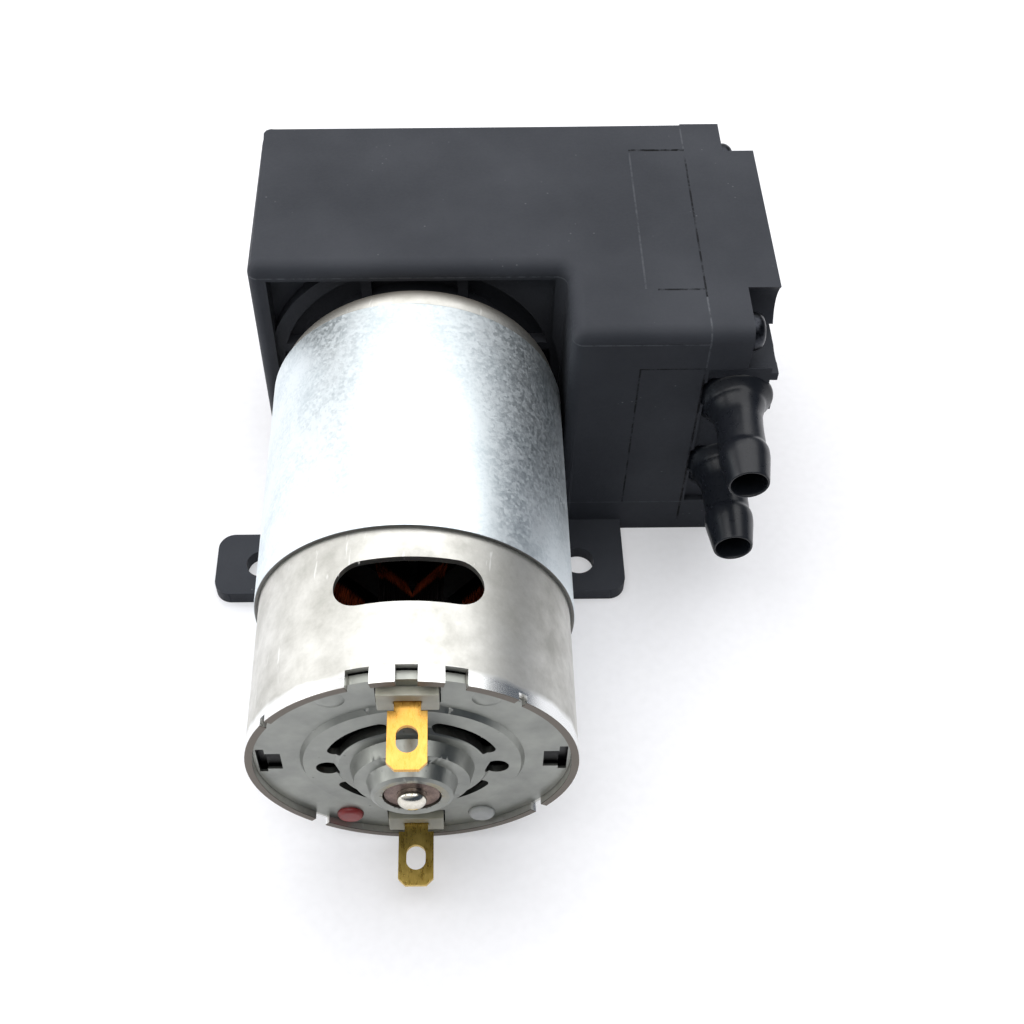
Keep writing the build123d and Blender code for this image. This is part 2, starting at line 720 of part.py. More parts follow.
blade_w, neck_w, tab_t = 4.0, 2.7, 0.5
shoulder_y = bell_y - 2.0
eye_y, eye_w, eye_len = -43.1, 2.2, 3.0
blades = {}
for name, side in (("positive_terminal", 1), ("negative_terminal", -1)):
    with BuildPart() as tab:
        with BuildSketch(Plane.XY.offset(axis_z + side * terminal_z - tab_t / 2)):
            with Locations((0, (shoulder_y + terminal_tip) / 2)):
                Rectangle(blade_w, shoulder_y - terminal_tip)
            with Locations((0, (shoulder_y + brush_y[0]) / 2)):
                Rectangle(neck_w, brush_y[0] - shoulder_y)
            with Locations((0, eye_y)):
                SlotOverall(eye_len, eye_w, rotation=90, mode=Mode.SUBTRACT)
        extrude(amount=tab_t)
        tips = tab.edges().filter_by(Axis.Z).group_by(Axis.Y)[0]
        chamfer(tips, length=0.8)
    tab.part.label = name
    blades[name] = tab.part

with BuildPart() as brush_arms:
    with BuildSketch(motor_plane(brush_y[0])):
        for side in (1, -1):
            with BuildLine():
                Polyline(
                    (side * -1.6, side * 7.75),
                    (side * 4.2, side * 7.75),
                    (side * 7.6, side * 10.6),
                    (side * 7.4, side * 10.9),
                    (side * 4.1, side * 8.1),
                    (side * -1.6, side * 8.1),
                    close=True,
                )
            make_face()
    extrude(amount=brush_y[0] - brush_y[1])

with BuildPart() as brushes:
    with BuildSketch(motor_plane(brush_y[0])):
        with Locations((0, 5.95), (0, -5.95)):
            Rectangle(3.2, 3.6)
        Circle(com_r + 0.08, mode=Mode.SUBTRACT)
    extrude(amount=brush_y[0] - brush_y[1])

# ---------------------------------------------------------------- rotor
core_ends = (-18.5, 9.5)
core_r, pole_w, pole_in = 12.4, 3.0, 4.6
pole_count = 5
poles = [54 + 72 * k for k in range(pole_count)]
coil_ends = (-27.4, 15.8)
coil_in, coil_out = 5.3, 10.5
com_ends = (-34.6, -29.0)

with BuildPart() as motor_shaft:
    turn(along_motor, motor_axis, [
        (shaft_rear, 0),
        (shaft_rear + 0.1, 0.65),
        (shaft_rear + 0.45, 1.2),
        (shaft_rear + 1.0, shaft_r),
        (shaft_front - 0.4, shaft_r),
        (shaft_front, shaft_r - 0.4),
        (shaft_front, 0),
    ])

with BuildPart() as armature_core:
    with BuildSketch(motor_plane(core_ends[0])):
        Circle(pole_in)
        for angle in poles:
            add(sector(core_r - 1.7, core_r, angle, 60))
            with Locations(Rot(0, 0, angle) * Pos(core_r / 2, 0)):
                Rectangle(core_r - 1, pole_w)
        Circle(shaft_r + 0.01, mode=Mode.SUBTRACT)
    extrude(amount=core_ends[0] - core_ends[1])

with BuildPart() as end_insulators:
    for y in (core_ends[0] - 0.5, core_ends[1]):
        with BuildSketch(motor_plane(y)):
            Circle(pole_in)
            for angle in poles:
                with Locations(Rot(0, 0, angle) * Pos(core_r / 2, 0)):
                    Rectangle(core_r - 2.4, pole_w)
            Circle(shaft_r + 0.01, mode=Mode.SUBTRACT)
        extrude(amount=-0.5)

with BuildPart() as armature_coils:
    for angle in poles:
        with BuildSketch(motor_plane(coil_ends[0])):
            with Locations(Rot(0, 0, angle)):
                Polygon((coil_in, -3.5), (11, -7.3), (11, 7.3), (coil_in, 3.5), align=None)
            Circle(coil_out, mode=Mode.INTERSECT)
        extrude(amount=coil_ends[0] - coil_ends[1])
    chamfer(armature_coils.edges().filter_by(GeomType.LINE).group_by(Axis.Y)[0], length=0.9)
    with BuildSketch(motor_plane(core_ends[0] - 0.5)):
        for angle in poles:
            with Locations(Rot(0, 0, angle) * Pos(core_r / 2, 0)):
                Rectangle(core_r, pole_w + 0.1)
    extrude(amount=core_ends[0] - core_ends[1] - 1.0, mode=Mode.SUBTRACT)

with BuildPart() as commutator_hub:
    with BuildSketch(motor_plane(com_ends[0] - 0.6)):
        Circle(com_r - 1.0)
        Circle(shaft_r + 0.01, mode=Mode.SUBTRACT)
    extrude(amount=com_ends[0] - 0.6 - com_ends[1] - 1.2)

with BuildPart() as commutator_segments:
    for angle in poles:
        with BuildSketch(motor_plane(com_ends[0])):
            add(sector(com_r - 0.98, com_r, angle, 66))
        extrude(amount=com_ends[0] - com_ends[1])
        with BuildSketch(motor_plane(com_ends[1] - 0.6)):
            add(sector(com_r - 0.98, com_r + 1.4, angle, 16))
        extrude(amount=-0.6)

with BuildPart() as thrust_washers:
    for y, t in ((bell_y + 1.1, 0.5), (bell_y + 1.7, 0.4), (motor_seat - can_wall - 0.6, 0.5)):
        with BuildSketch(motor_plane(y)):
            Circle(2.9)
            Circle(shaft_r + 0.02, mode=Mode.SUBTRACT)
        extrude(amount=-t)

# ---------------------------------------------------------------- one file for each piece
pieces = {
    "pump_housing": pump_housing.part,
    "rear_cover": rear_cover.part,
    "rear_cover_screws": rear_cover_screws.part,
    "pump_head": pump_head.part,
    "head_screws": head_screws.part,
    "head_gasket": head_gasket.part,
    "outer_valve_plate": outer_valve_plate.part,
    "inner_valve_plate": inner_valve_plate.part,
    "inlet_valve": inlet_valve.part,
    "outlet_valve": outlet_valve.part,
    "diaphragm": diaphragm.part,
    "diaphragm_backing_disc": diaphragm_backing_disc.part,
    "diaphragm_clamp_disc": diaphragm_clamp_disc.part,
    "diaphragm_screw": diaphragm_screw.part,
    "connecting_rod": connecting_rod.part,
    "bearing_outer_ring": bearing_outer_ring.part,
    "bearing_inner_ring": bearing_inner_ring.part,
    "bearing_balls": bearing_balls.part,
    "eccentric": eccentric.part,
    "eccentric_grub_screw": eccentric_grub_screw.part,
    "motor_can": motor_can.part,
    "flux_ring": flux_ring.part,
    "end_bell": end_bell.part,
    "rear_bearing": rear_bearing.part,
    "front_bearing": front_bearing.part,
    "motor_screws": motor_screws.part,
    "magnets": magnets.part,
    "magnet_clips": magnet_clips.part,
    "brush_card": brush_card.part,
    "positive_terminal": blades["positive_terminal"],
    "negative_terminal": blades["negative_terminal"],
    "brush_arms": brush_arms.part,
    "brushes": brushes.part,
    "motor_shaft": motor_shaft.part,
    "armature_core": armature_core.part,
    "end_insulators": end_insulators.part,
    "armature_coils": armature_coils.part,
    "commutator_hub": commutator_hub.part,
    "commutator_segments": commutator_segments.part,
    "thrust_washers": thrust_washers.part,
}

os.makedirs("parts", exist_ok=True)
for name, piece in pieces.items():
    piece.label = name
    export_step(piece, f"parts/{name}.step")
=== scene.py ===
import json
from math import copysign, cos, pi, radians, sin

import bmesh
import bpy
from mathutils import Matrix, Vector

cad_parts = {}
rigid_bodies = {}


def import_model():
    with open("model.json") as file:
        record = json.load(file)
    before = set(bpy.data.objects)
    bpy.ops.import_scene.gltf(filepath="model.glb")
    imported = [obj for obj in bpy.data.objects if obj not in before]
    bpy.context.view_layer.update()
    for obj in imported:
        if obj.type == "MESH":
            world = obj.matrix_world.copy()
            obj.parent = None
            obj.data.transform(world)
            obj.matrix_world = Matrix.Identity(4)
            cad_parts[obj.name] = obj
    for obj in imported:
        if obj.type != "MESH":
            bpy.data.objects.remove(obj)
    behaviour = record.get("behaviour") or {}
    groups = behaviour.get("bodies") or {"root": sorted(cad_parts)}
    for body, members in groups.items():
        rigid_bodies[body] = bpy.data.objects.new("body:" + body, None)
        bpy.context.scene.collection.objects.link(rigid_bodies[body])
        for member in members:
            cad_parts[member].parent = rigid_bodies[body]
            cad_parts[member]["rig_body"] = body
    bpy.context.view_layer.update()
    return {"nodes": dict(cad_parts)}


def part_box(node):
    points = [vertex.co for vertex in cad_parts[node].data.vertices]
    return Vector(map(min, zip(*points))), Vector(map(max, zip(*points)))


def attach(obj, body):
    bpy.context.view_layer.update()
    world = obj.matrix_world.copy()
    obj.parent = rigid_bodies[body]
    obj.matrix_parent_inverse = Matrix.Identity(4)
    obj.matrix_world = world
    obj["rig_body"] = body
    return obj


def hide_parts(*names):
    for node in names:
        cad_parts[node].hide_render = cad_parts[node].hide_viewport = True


# Small diaphragm vacuum pump: a brushed motor on a black moulded body, with the pump head at its side.
# Everything is built in metres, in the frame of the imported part. Sizes are written in mm, and the dictionaries
# whose values go into a node group as they are (strip, winding, the screw sets) are in metres.

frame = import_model()
nodes = frame["nodes"]
mm = 0.001
axisZ = (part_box("motor_can")[0].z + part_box("motor_can")[1].z) / 2
axisMm = axisZ / mm
print("frame loaded,", len(nodes), "nodes")


def linear(hexColour):
    # sRGB hex to the linear colour that the shaders take
    parts = [int(hexColour[i:i + 2], 16) / 255 for i in (1, 3, 5)]
    return tuple(c / 12.92 if c <= 0.04045 else ((c + 0.055) / 1.055) ** 2.4 for c in parts) + (1,)


def feed(tree, node, inputs):
    # a node's inputs, by name or in order, are constants or the sockets that feed them
    for key, value in (inputs.items() if isinstance(inputs, dict) else enumerate(inputs)):
        if isinstance(value, bpy.types.NodeSocket):
            tree.links.new(value, node.inputs[key])
        elif value is not None:
            node.inputs[key].default_value = linear(value) if isinstance(value, str) else value


def addNode(tree, kind, inputs=(), **settings):
    # adds one node, with its settings and links, and hands back its outputs
    node = tree.nodes.new(kind)
    for key, value in settings.items():
        setattr(node, key, value)
    feed(tree, node, inputs)
    return node.outputs


def newMaterial(name):
    material = bpy.data.materials.new(name)
    material.use_nodes = True
    tree = material.node_tree
    place = addNode(tree, "ShaderNodeTexCoord")["Object"]
    return material, tree, tree.nodes["Principled BSDF"], place


def sunkLight(tree, shader, weight, depth):
    # light that sinks into a pale plastic and comes out warm; the depth is in metres
    feed(tree, shader,
         {"Subsurface Weight": weight, "Subsurface Radius": (1.0, 0.9, 0.7), "Subsurface Scale": depth})


def motorPlace(tree, place):
    # where a point is along the motor axis, and how far from it
    x, y, z = addNode(tree, "ShaderNodeSeparateXYZ", (place,))
    height = addNode(tree, "ShaderNodeMath", (z, axisZ), operation="SUBTRACT")[0]
    flat = addNode(tree, "ShaderNodeCombineXYZ", {"X": x, "Z": height})[0]
    return y, addNode(tree, "ShaderNodeVectorMath", (flat,), operation="LENGTH")[1]


def perGrain(sizeMm):
    # texture scale at which one light or dark patch is about this wide
    return 500 / sizeMm


def markMask(tree, place, marks, softMm):
    # 1 inside any of the thin boxes (low corner, high corner, strength), fading over their soft edge
    total = None
    for low, high, strength in marks:
        centre = [(a + b) / 2 * mm for a, b in zip(low, high)]
        half = [(b - a) / 2 * mm for a, b in zip(low, high)]
        away = place
        for operation, by in (("SUBTRACT", centre), ("ABSOLUTE", None), ("SUBTRACT", half)):
            away = addNode(tree, "ShaderNodeVectorMath", (away, by), operation=operation)[0]
        x, y, z = addNode(tree, "ShaderNodeSeparateXYZ", (away,))
        far = addNode(tree, "ShaderNodeMath", (x, y), operation="MAXIMUM")[0]
        far = addNode(tree, "ShaderNodeMath", (far, z), operation="MAXIMUM")[0]
        mask = addNode(tree, "ShaderNodeMapRange", (far, 0.0, softMm * mm, strength, 0.0))[0]
        total = mask if total is None else addNode(tree, "ShaderNodeMath", (total, mask), operation="MAXIMUM")[0]
    return total


# flux ring: a strip rolled round the can, its ends nearly meeting under it, a little out of square
stripEnds = (-20.2, 12.85)
strip = {"Radius": 18.19 * mm, "Wall": 0.52 * mm, "Length": (stripEnds[1] - stripEnds[0]) * mm, "Gap": radians(1.3),
         "Edge": 0.16 * mm, "Middle": (0.0, sum(stripEnds) / 2 * mm, axisZ), "Skew": -0.03, "Facets": 160}

bellFace = -38.0  # outer face of the end plate
# where the can's finish changes: tinted shoulder, burnished rim on the outer wall, dull cut end
canMarks = {"shoulder": (13.5, 16.5), "rim": (-36.2, -36.9), "rim wander": 1.2, "outer wall": 17.55,
            "cut": (-38.70, -38.74)}
# the end plate's holes get painted black shade on their walls: the depth over which that comes in, and the radius
# that it stops at
bellHoleShade = {"from": 0.12, "to": 0.35, "within": 16.8}

# windings: turns on five poles; they bow out between two parts of their length, where they leave the core, and
# show red-brown only at that shoulder, with painted black shade everywhere else
winding = {"Levels": 13, "Inner radius": 5.5 * mm, "Pitch": 0.4 * mm, "Half width": 3.2 * mm, "Layer": 0.42 * mm,
           "Length": 43.0 * mm, "Corner": 2.6 * mm, "Bow": 0.24, "Bow from": 0.31, "Bow to": 0.37,
           "Wire": 0.14 * mm, "Points": 72, "Facets": 6, "Poles": 5, "Step": radians(-72), "First": radians(36),
           "Middle": (0.0, -5.8 * mm, axisZ), "Slack": 0.05 * mm, "Shoulder": -20.4 * mm}

# lines that the mould inserts leave on the housing: thin boxes (low, high, strength)
mouldLines = {
    "soft": 0.07,
    "dark": [((27.9, 40.25, 37.2), (35.1, 40.55, 38.2), 1.0), ((29.4, 14.2, 37.2), (34.9, 14.4, 38.2), 0.85),
             ((35.02, 13.0, 35.0), (35.17, 39.0, 38.2), 0.8), ((27.1, 6.0, 6.0), (27.25, 7.2, 31.8), 0.8),
             ((27.1, 6.0, 31.7), (35.0, 7.2, 31.85), 0.8), ((34.95, 6.0, 2.0), (35.15, 8.0, 31.5), 0.9)],
    "pale": [((27.85, 14.5, 37.2), (28.0, 39.8, 38.2), 0.22), ((-20.6, 6.0, 35.8), (35.2, 19.2, 35.93), 0.35),
             ((35.02, 40.6, 35.0), (35.15, 46.0, 38.2), 0.28), ((35.02, 6.0, 32.0), (35.15, 13.0, 38.2), 0.4),
             ((-20.6, 6.0, 5.8), (35.2, 19.2, 5.92), 0.2)],
}


def mouldedNylon(name, tones, gloss, grainMm, depthMm, sheen, lined):
    material, tree, shader, place = newMaterial(name)
    flow = addNode(tree, "ShaderNodeTexNoise",
                   {"Vector": place, "Scale": perGrain(9), "Detail": 3, "Roughness": 0.55})[0]
    grain = addNode(tree, "ShaderNodeTexNoise",
                    {"Vector": place, "Scale": perGrain(grainMm), "Detail": 2, "Roughness": 0.6})[0]
    specks = addNode(tree, "ShaderNodeTexVoronoi", {"Vector": place, "Scale": perGrain(0.7)})["Distance"]
    scatter = addNode(tree, "ShaderNodeTexNoise", {"Vector": place, "Scale": perGrain(2.2), "Detail": 1})[0]
    shade = addNode(tree, "ShaderNodeMapRange", (flow, 0.35, 0.65))[0]
    tone = addNode(tree, "ShaderNodeMix", {0: shade, 6: tones[0], 7: tones[1]}, data_type="RGBA")[2]
    speck = addNode(tree, "ShaderNodeMapRange", (specks, 0.10, 0.05, 0.0, 1.0))[0]
    some = addNode(tree, "ShaderNodeMapRange", (scatter, 0.60, 0.66))[0]
    speck = addNode(tree, "ShaderNodeMath", (speck, some), operation="MULTIPLY")[0]
    speck = addNode(tree, "ShaderNodeMath", (speck, 0.22), operation="MULTIPLY")[0]
    tone = addNode(tree, "ShaderNodeMix", {0: speck, 6: tone, 7: "#8b8d90"}, data_type="RGBA")[2]
    height = addNode(tree, "ShaderNodeMath", (grain, flow), operation="ADD")[0]
    if lined:
        wobble = addNode(tree, "ShaderNodeTexNoise",
                         {"Vector": place, "Scale": perGrain(0.8), "Detail": 4, "Roughness": 0.75})[0]
        broken = addNode(tree, "ShaderNodeMapRange", (wobble, 0.4, 0.56, 0.1, 1.0))[0]
        for kind, ink, raised in (("dark", "#050608", -2.5), ("pale", "#6f7277", 0.6)):
            mask = markMask(tree, place, mouldLines[kind], mouldLines["soft"])
            mask = addNode(tree, "ShaderNodeMath", (mask, broken), operation="MULTIPLY")[0]
            tone = addNode(tree, "ShaderNodeMix", {0: mask, 6: tone, 7: ink}, data_type="RGBA")[2]
            height = addNode(tree, "ShaderNodeMath", (mask, raised, height), operation="MULTIPLY_ADD")[0]
    rough = addNode(tree, "ShaderNodeMapRange", (grain, 0.3, 0.7, gloss[0], gloss[1]))[0]
    normal = addNode(tree, "ShaderNodeBump", {"Strength": 0.8, "Distance": depthMm * mm, "Height": height})[0]
    feed(tree, shader, {"Base Color": tone, "Roughness": rough, "Normal": normal, "Specular IOR Level": sheen})
    return material


def platedMetal(name, tones, gloss, patchMm, grainMm, brushed=None, depthMm=0.01):
    # the grain may be longer one way, as drawing and brushing leave it
    material, tree, shader, place = newMaterial(name)
    patches = addNode(tree, "ShaderNodeTexNoise",
                      {"Vector": place, "Scale": perGrain(patchMm), "Detail": 4, "Roughness": 0.6})[0]
    along = addNode(tree, "ShaderNodeMapping", {"Vector": place, "Scale": [1 / s for s in brushed or (1, 1, 1)]})[0]
    grain = addNode(tree, "ShaderNodeTexNoise",
                    {"Vector": along, "Scale": perGrain(grainMm), "Detail": 3, "Roughness": 0.6})[0]
    both = addNode(tree, "ShaderNodeMath", (patches, grain), operation="ADD")[0]
    mixBy = addNode(tree, "ShaderNodeMapRange", (both, 0.75, 1.25))[0]
    tone = addNode(tree, "ShaderNodeMix", {0: mixBy, 6: tones[0], 7: tones[1]}, data_type="RGBA")[2]
    rough = addNode(tree, "ShaderNodeMapRange", (grain, 0.3, 0.7, gloss[0], gloss[1]))[0]
    normal = addNode(tree, "ShaderNodeBump", {"Strength": 0.5, "Distance": depthMm * mm, "Height": grain})[0]
    feed(tree, shader, {"Base Color": tone, "Roughness": rough, "Normal": normal, "Metallic": 1})
    return material


def zincStrip():
    # bright zinc with a blue passivate on rolled steel strip: pale and silky, crystals showing as a soft speckle,
    # and painted dark shade along its rear edge, where it stands on the can
    material, tree, shader, place = newMaterial("bluePassivatedZincStrip")
    cells = addNode(tree, "ShaderNodeTexVoronoi", {"Vector": place, "Scale": perGrain(0.2)})["Color"]
    cell = addNode(tree, "ShaderNodeSeparateXYZ", (cells,))[0]
    cloud = addNode(tree, "ShaderNodeTexNoise",
                    {"Vector": place, "Scale": perGrain(3.0), "Detail": 4, "Roughness": 0.55})[0]
    grain = addNode(tree, "ShaderNodeTexNoise",
                    {"Vector": place, "Scale": perGrain(0.2), "Detail": 3, "Roughness": 0.65})[0]
    both = addNode(tree, "ShaderNodeMath", (cell, 0.25, cloud), operation="MULTIPLY_ADD")[0]
    both = addNode(tree, "ShaderNodeMath", (grain, 0.8, both), operation="MULTIPLY_ADD")[0]
    mixBy = addNode(tree, "ShaderNodeMapRange", (both, 0.72, 1.12))[0]
    tone = addNode(tree, "ShaderNodeMix", {0: mixBy, 6: "#ccd6da", 7: "#e2e9ec"}, data_type="RGBA")[2]
    x, y, z = addNode(tree, "ShaderNodeSeparateXYZ", (place,))
    level = addNode(tree, "ShaderNodeMath", (x, -strip["Skew"], y), operation="MULTIPLY_ADD")[0]
    # painted shade: the strip's rear end is darkened for the shadowed gap where it meets the can
    cut = addNode(tree, "ShaderNodeMapRange", (level, (stripEnds[0] + 0.07) * mm, (stripEnds[0] + 0.03) * mm))[0]
    tone = addNode(tree, "ShaderNodeMix", {0: cut, 6: tone, 7: "#6d6c69"}, data_type="RGBA")[2]
    rough = addNode(tree, "ShaderNodeMapRange", (cell, 0.0, 1.0, 0.40, 0.52))[0]
    height = addNode(tree, "ShaderNodeMath", (cell, 0.5, grain), operation="MULTIPLY_ADD")[0]
    normal = addNode(tree, "ShaderNodeBump", {"Strength": 0.3, "Distance": 0.008 * mm, "Height": height})[0]
    feed(tree, shader, {"Base Color": tone, "Roughness": rough, "Normal": normal, "Metallic": 1})
    return material


def drawnCan():
    # deep-drawn nickel-plated steel: soft silver grey with dull patches, a few rub marks, a bright burnished rim,
    # a straw tint where the shoulder was worked hardest, and a dull brownish cut end
    material, tree, shader, place = newMaterial("nickelPlatedDrawnSteel")
    patches = addNode(tree, "ShaderNodeTexNoise",
                      {"Vector": place, "Scale": perGrain(2.6), "Detail": 6, "Roughness": 0.68})[0]
    grain = addNode(tree, "ShaderNodeTexNoise",
                    {"Vector": place, "Scale": perGrain(0.2), "Detail": 3, "Roughness": 0.6})[0]
    drift = addNode(tree, "ShaderNodeTexNoise", {"Vector": place, "Scale": perGrain(5)})[1]
    bent = addNode(tree, "ShaderNodeMix", {0: 0.004, 4: place, 5: drift}, data_type="VECTOR")[1]
    slant = {"Vector": bent, "Rotation": (0.3, 0.5, 0.9), "Scale": (1, 0.12, 1)}
    slanted = addNode(tree, "ShaderNodeMapping", slant)[0]
    rubs = addNode(tree, "ShaderNodeTexNoise", {"Vector": slanted, "Scale": perGrain(0.35), "Detail": 2})[0]
    few = addNode(tree, "ShaderNodeTexNoise", {"Vector": place, "Scale": perGrain(4.5), "Detail": 1})[0]
    rubs = addNode(tree, "ShaderNodeMapRange", (rubs, 0.66, 0.72))[0]
    few = addNode(tree, "ShaderNodeMapRange", (few, 0.55, 0.62))[0]
    rub = addNode(tree, "ShaderNodeMath", (rubs, few), operation="MULTIPLY")[0]
    rub = addNode(tree, "ShaderNodeMath", (rub, 0.5), operation="MULTIPLY")[0]
    mixBy = addNode(tree, "ShaderNodeMapRange", (patches, 0.32, 0.68))[0]
    tone = addNode(tree, "ShaderNodeMix", {0: mixBy, 6: "#b4b3ad", 7: "#d8d7d2"}, data_type="RGBA")[2]
    tone = addNode(tree, "ShaderNodeMix", {0: rub, 6: tone, 7: "#f2f2f0"}, data_type="RGBA")[2]
    y, reach = motorPlace(tree, place)
    outside = addNode(tree, "ShaderNodeMath", (reach, canMarks["outer wall"] * mm), operation="GREATER_THAN")[0]
    shoulder = addNode(tree, "ShaderNodeMapRange", (y, *[c * mm for c in canMarks["shoulder"]], 0.0, 0.75))[0]
    tone = addNode(tree, "ShaderNodeMix", {0: shoulder, 6: tone, 7: "#8d8376"}, data_type="RGBA")[2]
    uneven = addNode(tree, "ShaderNodeTexNoise", {"Vector": place, "Scale": perGrain(1.6), "Detail": 2})[0]
    edge = addNode(tree, "ShaderNodeMath", (uneven, canMarks["rim wander"] * mm, y), operation="MULTIPLY_ADD")[0]
    rim = addNode(tree, "ShaderNodeMapRange", (edge, *[c * mm for c in canMarks["rim"]]))[0]
    rim = addNode(tree, "ShaderNodeMath", (rim, outside), operation="MULTIPLY")[0]
    tone = addNode(tree, "ShaderNodeMix", {0: rim, 6: tone, 7: "#ecedec"}, data_type="RGBA")[2]
    rough = addNode(tree, "ShaderNodeMapRange", (patches, 0.3, 0.7, 0.55, 0.42))[0]
    rough = addNode(tree, "ShaderNodeMix", {0: rim, 2: rough, 3: 0.26})[0]
    cut = addNode(tree, "ShaderNodeMapRange", (y, *[c * mm for c in canMarks["cut"]]))[0]
    tone = addNode(tree, "ShaderNodeMix", {0: cut, 6: tone, 7: "#77716a"}, data_type="RGBA")[2]
    rough = addNode(tree, "ShaderNodeMix", {0: cut, 2: rough, 3: 0.55})[0]
    normal = addNode(tree, "ShaderNodeBump", {"Strength": 0.4, "Distance": 0.008 * mm, "Height": grain})[0]
    feed(tree, shader, {"Base Color": tone, "Roughness": rough, "Normal": normal, "Metallic": 1})
    return material


def pressedPlate():
    # pressed zinc-plated plate: neutral grey satin, faintly clouded and spotted, with painted black shade on the
    # walls of its holes
    material, tree, shader, place = newMaterial("satinZincPressedSteel")
    cloud = addNode(tree, "ShaderNodeTexNoise",
                    {"Vector": place, "Scale": perGrain(2.4), "Detail": 5, "Roughness": 0.6})[0]
    grain = addNode(tree, "ShaderNodeTexNoise",
                    {"Vector": place, "Scale": perGrain(0.15), "Detail": 3, "Roughness": 0.6})[0]
    spots = addNode(tree, "ShaderNodeTexVoronoi", {"Vector": place, "Scale": perGrain(1.3)})["Distance"]
    mixBy = addNode(tree, "ShaderNodeMapRange", (cloud, 0.3, 0.7))[0]
    tone = addNode(tree, "ShaderNodeMix", {0: mixBy, 6: "#838581", 7: "#9c9e98"}, data_type="RGBA")[2]
    spot = addNode(tree, "ShaderNodeMapRange", (spots, 0.07, 0.03, 0.0, 0.6))[0]
    tone = addNode(tree, "ShaderNodeMix", {0: spot, 6: tone, 7: "#4b4c4e"}, data_type="RGBA")[2]
    y, reach = motorPlace(tree, place)
    # painted shade: the walls inside the plate's holes, within the given radius, are made near black
    deep = addNode(tree, "ShaderNodeMapRange",
                   (y, (bellFace + bellHoleShade["from"]) * mm, (bellFace + bellHoleShade["to"]) * mm))[0]
    within = addNode(tree, "ShaderNodeMath", (reach, bellHoleShade["within"] * mm), operation="LESS_THAN")[0]
    deep = addNode(tree, "ShaderNodeMath", (deep, within), operation="MULTIPLY")[0]
    tone = addNode(tree, "ShaderNodeMix", {0: deep, 6: tone, 7: "#121212"}, data_type="RGBA")[2]
    rough = addNode(tree, "ShaderNodeMapRange", (grain, 0.3, 0.7, 0.30, 0.42))[0]
    normal = addNode(tree, "ShaderNodeBump", {"Strength": 0.4, "Distance": 0.008 * mm, "Height": grain})[0]
    feed(tree, shader, {"Base Color": tone, "Roughness": rough, "Normal": normal, "Metallic": 1})
    return material


def nylonShadedInside():
    # unfilled natural nylon: milky where it stands out of the plate, painted near black as shade inside the motor
    material, tree, shader, place = newMaterial("naturalNylonMoulding")
    cloud = addNode(tree, "ShaderNodeTexNoise", {"Vector": place, "Scale": perGrain(1.5), "Detail": 3})[0]
    mixBy = addNode(tree, "ShaderNodeMapRange", (cloud, 0.3, 0.7))[0]
    tone = addNode(tree, "ShaderNodeMix", {0: mixBy, 6: "#9c9b8c", 7: "#bdbbac"}, data_type="RGBA")[2]
    y = addNode(tree, "ShaderNodeSeparateXYZ", (place,))[1]
    # painted shade: everything deeper than the plate's face is darkened to near black
    deep = addNode(tree, "ShaderNodeMapRange", (y, (bellFace + 0.2) * mm, (bellFace + 0.5) * mm))[0]
    tone = addNode(tree, "ShaderNodeMix", {0: deep, 6: tone, 7: "#0c0c0c"}, data_type="RGBA")[2]
    rough = addNode(tree, "ShaderNodeMapRange", (cloud, 0.3, 0.7, 0.3, 0.42))[0]
    feed(tree, shader, {"Base Color": tone, "Roughness": rough})
    sunkLight(tree, shader, 0.35, 0.6 * mm)
    return material


def mouldedPlain(name, tones, gloss, grainMm, glow=0.0, depthMm=0.01):
    # plastic, rubber, lacquer or ceramic: a slightly clouded tone, a fine grain, and light that may sink in
    material, tree, shader, place = newMaterial(name)
    cloud = addNode(tree, "ShaderNodeTexNoise", {"Vector": place, "Scale": perGrain(8 * grainMm), "Detail": 3})[0]
    grain = addNode(tree, "ShaderNodeTexNoise",
                    {"Vector": place, "Scale": perGrain(grainMm), "Detail": 3, "Roughness": 0.6})[0]
    mixBy = addNode(tree, "ShaderNodeMapRange", (cloud, 0.3, 0.7))[0]
    tone = addNode(tree, "ShaderNodeMix", {0: mixBy, 6: tones[0], 7: tones[1]}, data_type="RGBA")[2]
    rough = addNode(tree, "ShaderNodeMapRange", (grain, 0.3, 0.7, gloss * 0.85, min(1, gloss * 1.15)))[0]
    normal = addNode(tree, "ShaderNodeBump", {"Strength": 0.5, "Distance": depthMm * mm, "Height": grain})[0]
    feed(tree, shader, {"Base Color": tone, "Roughness": rough, "Normal": normal})
    if glow:
        sunkLight(tree, shader, glow, 0.8 * mm)
    return material


def coilWire():
    # enamelled copper wire: red-brown and glossy at the shoulder that the window shows, painted black as shade
    # elsewhere
    material, tree, shader, place = newMaterial("enamelledCopperWire")
    cloud = addNode(tree, "ShaderNodeTexNoise", {"Vector": place, "Scale": perGrain(0.8), "Detail": 2})[0]
    mixBy = addNode(tree, "ShaderNodeMapRange", (cloud, 0.35, 0.65))[0]
    tone = addNode(tree, "ShaderNodeMix", {0: mixBy, 6: "#54200f", 7: "#9c4624"}, data_type="RGBA")[2]
    y = addNode(tree, "ShaderNodeSeparateXYZ", (place,))[1]
    # painted shade: more than about a millimetre from the shoulder, the wire is made near black
    away = addNode(tree, "ShaderNodeMath", (y, -winding["Shoulder"]), operation="ADD")[0]
    away = addNode(tree, "ShaderNodeMath", (away,), operation="ABSOLUTE")[0]
    paintedShadeOffShoulder = addNode(tree, "ShaderNodeMapRange", (away, 0.7 * mm, 1.2 * mm))[0]
    tone = addNode(tree, "ShaderNodeMix", {0: paintedShadeOffShoulder, 6: tone, 7: "#070404"}, data_type="RGBA")[2]
    rough = addNode(tree, "ShaderNodeMapRange", (cloud, 0.3, 0.7, 0.28, 0.4))[0]
    feed(tree, shader, {"Base Color": tone, "Roughness": rough, "Specular IOR Level": 0.3})
    return material


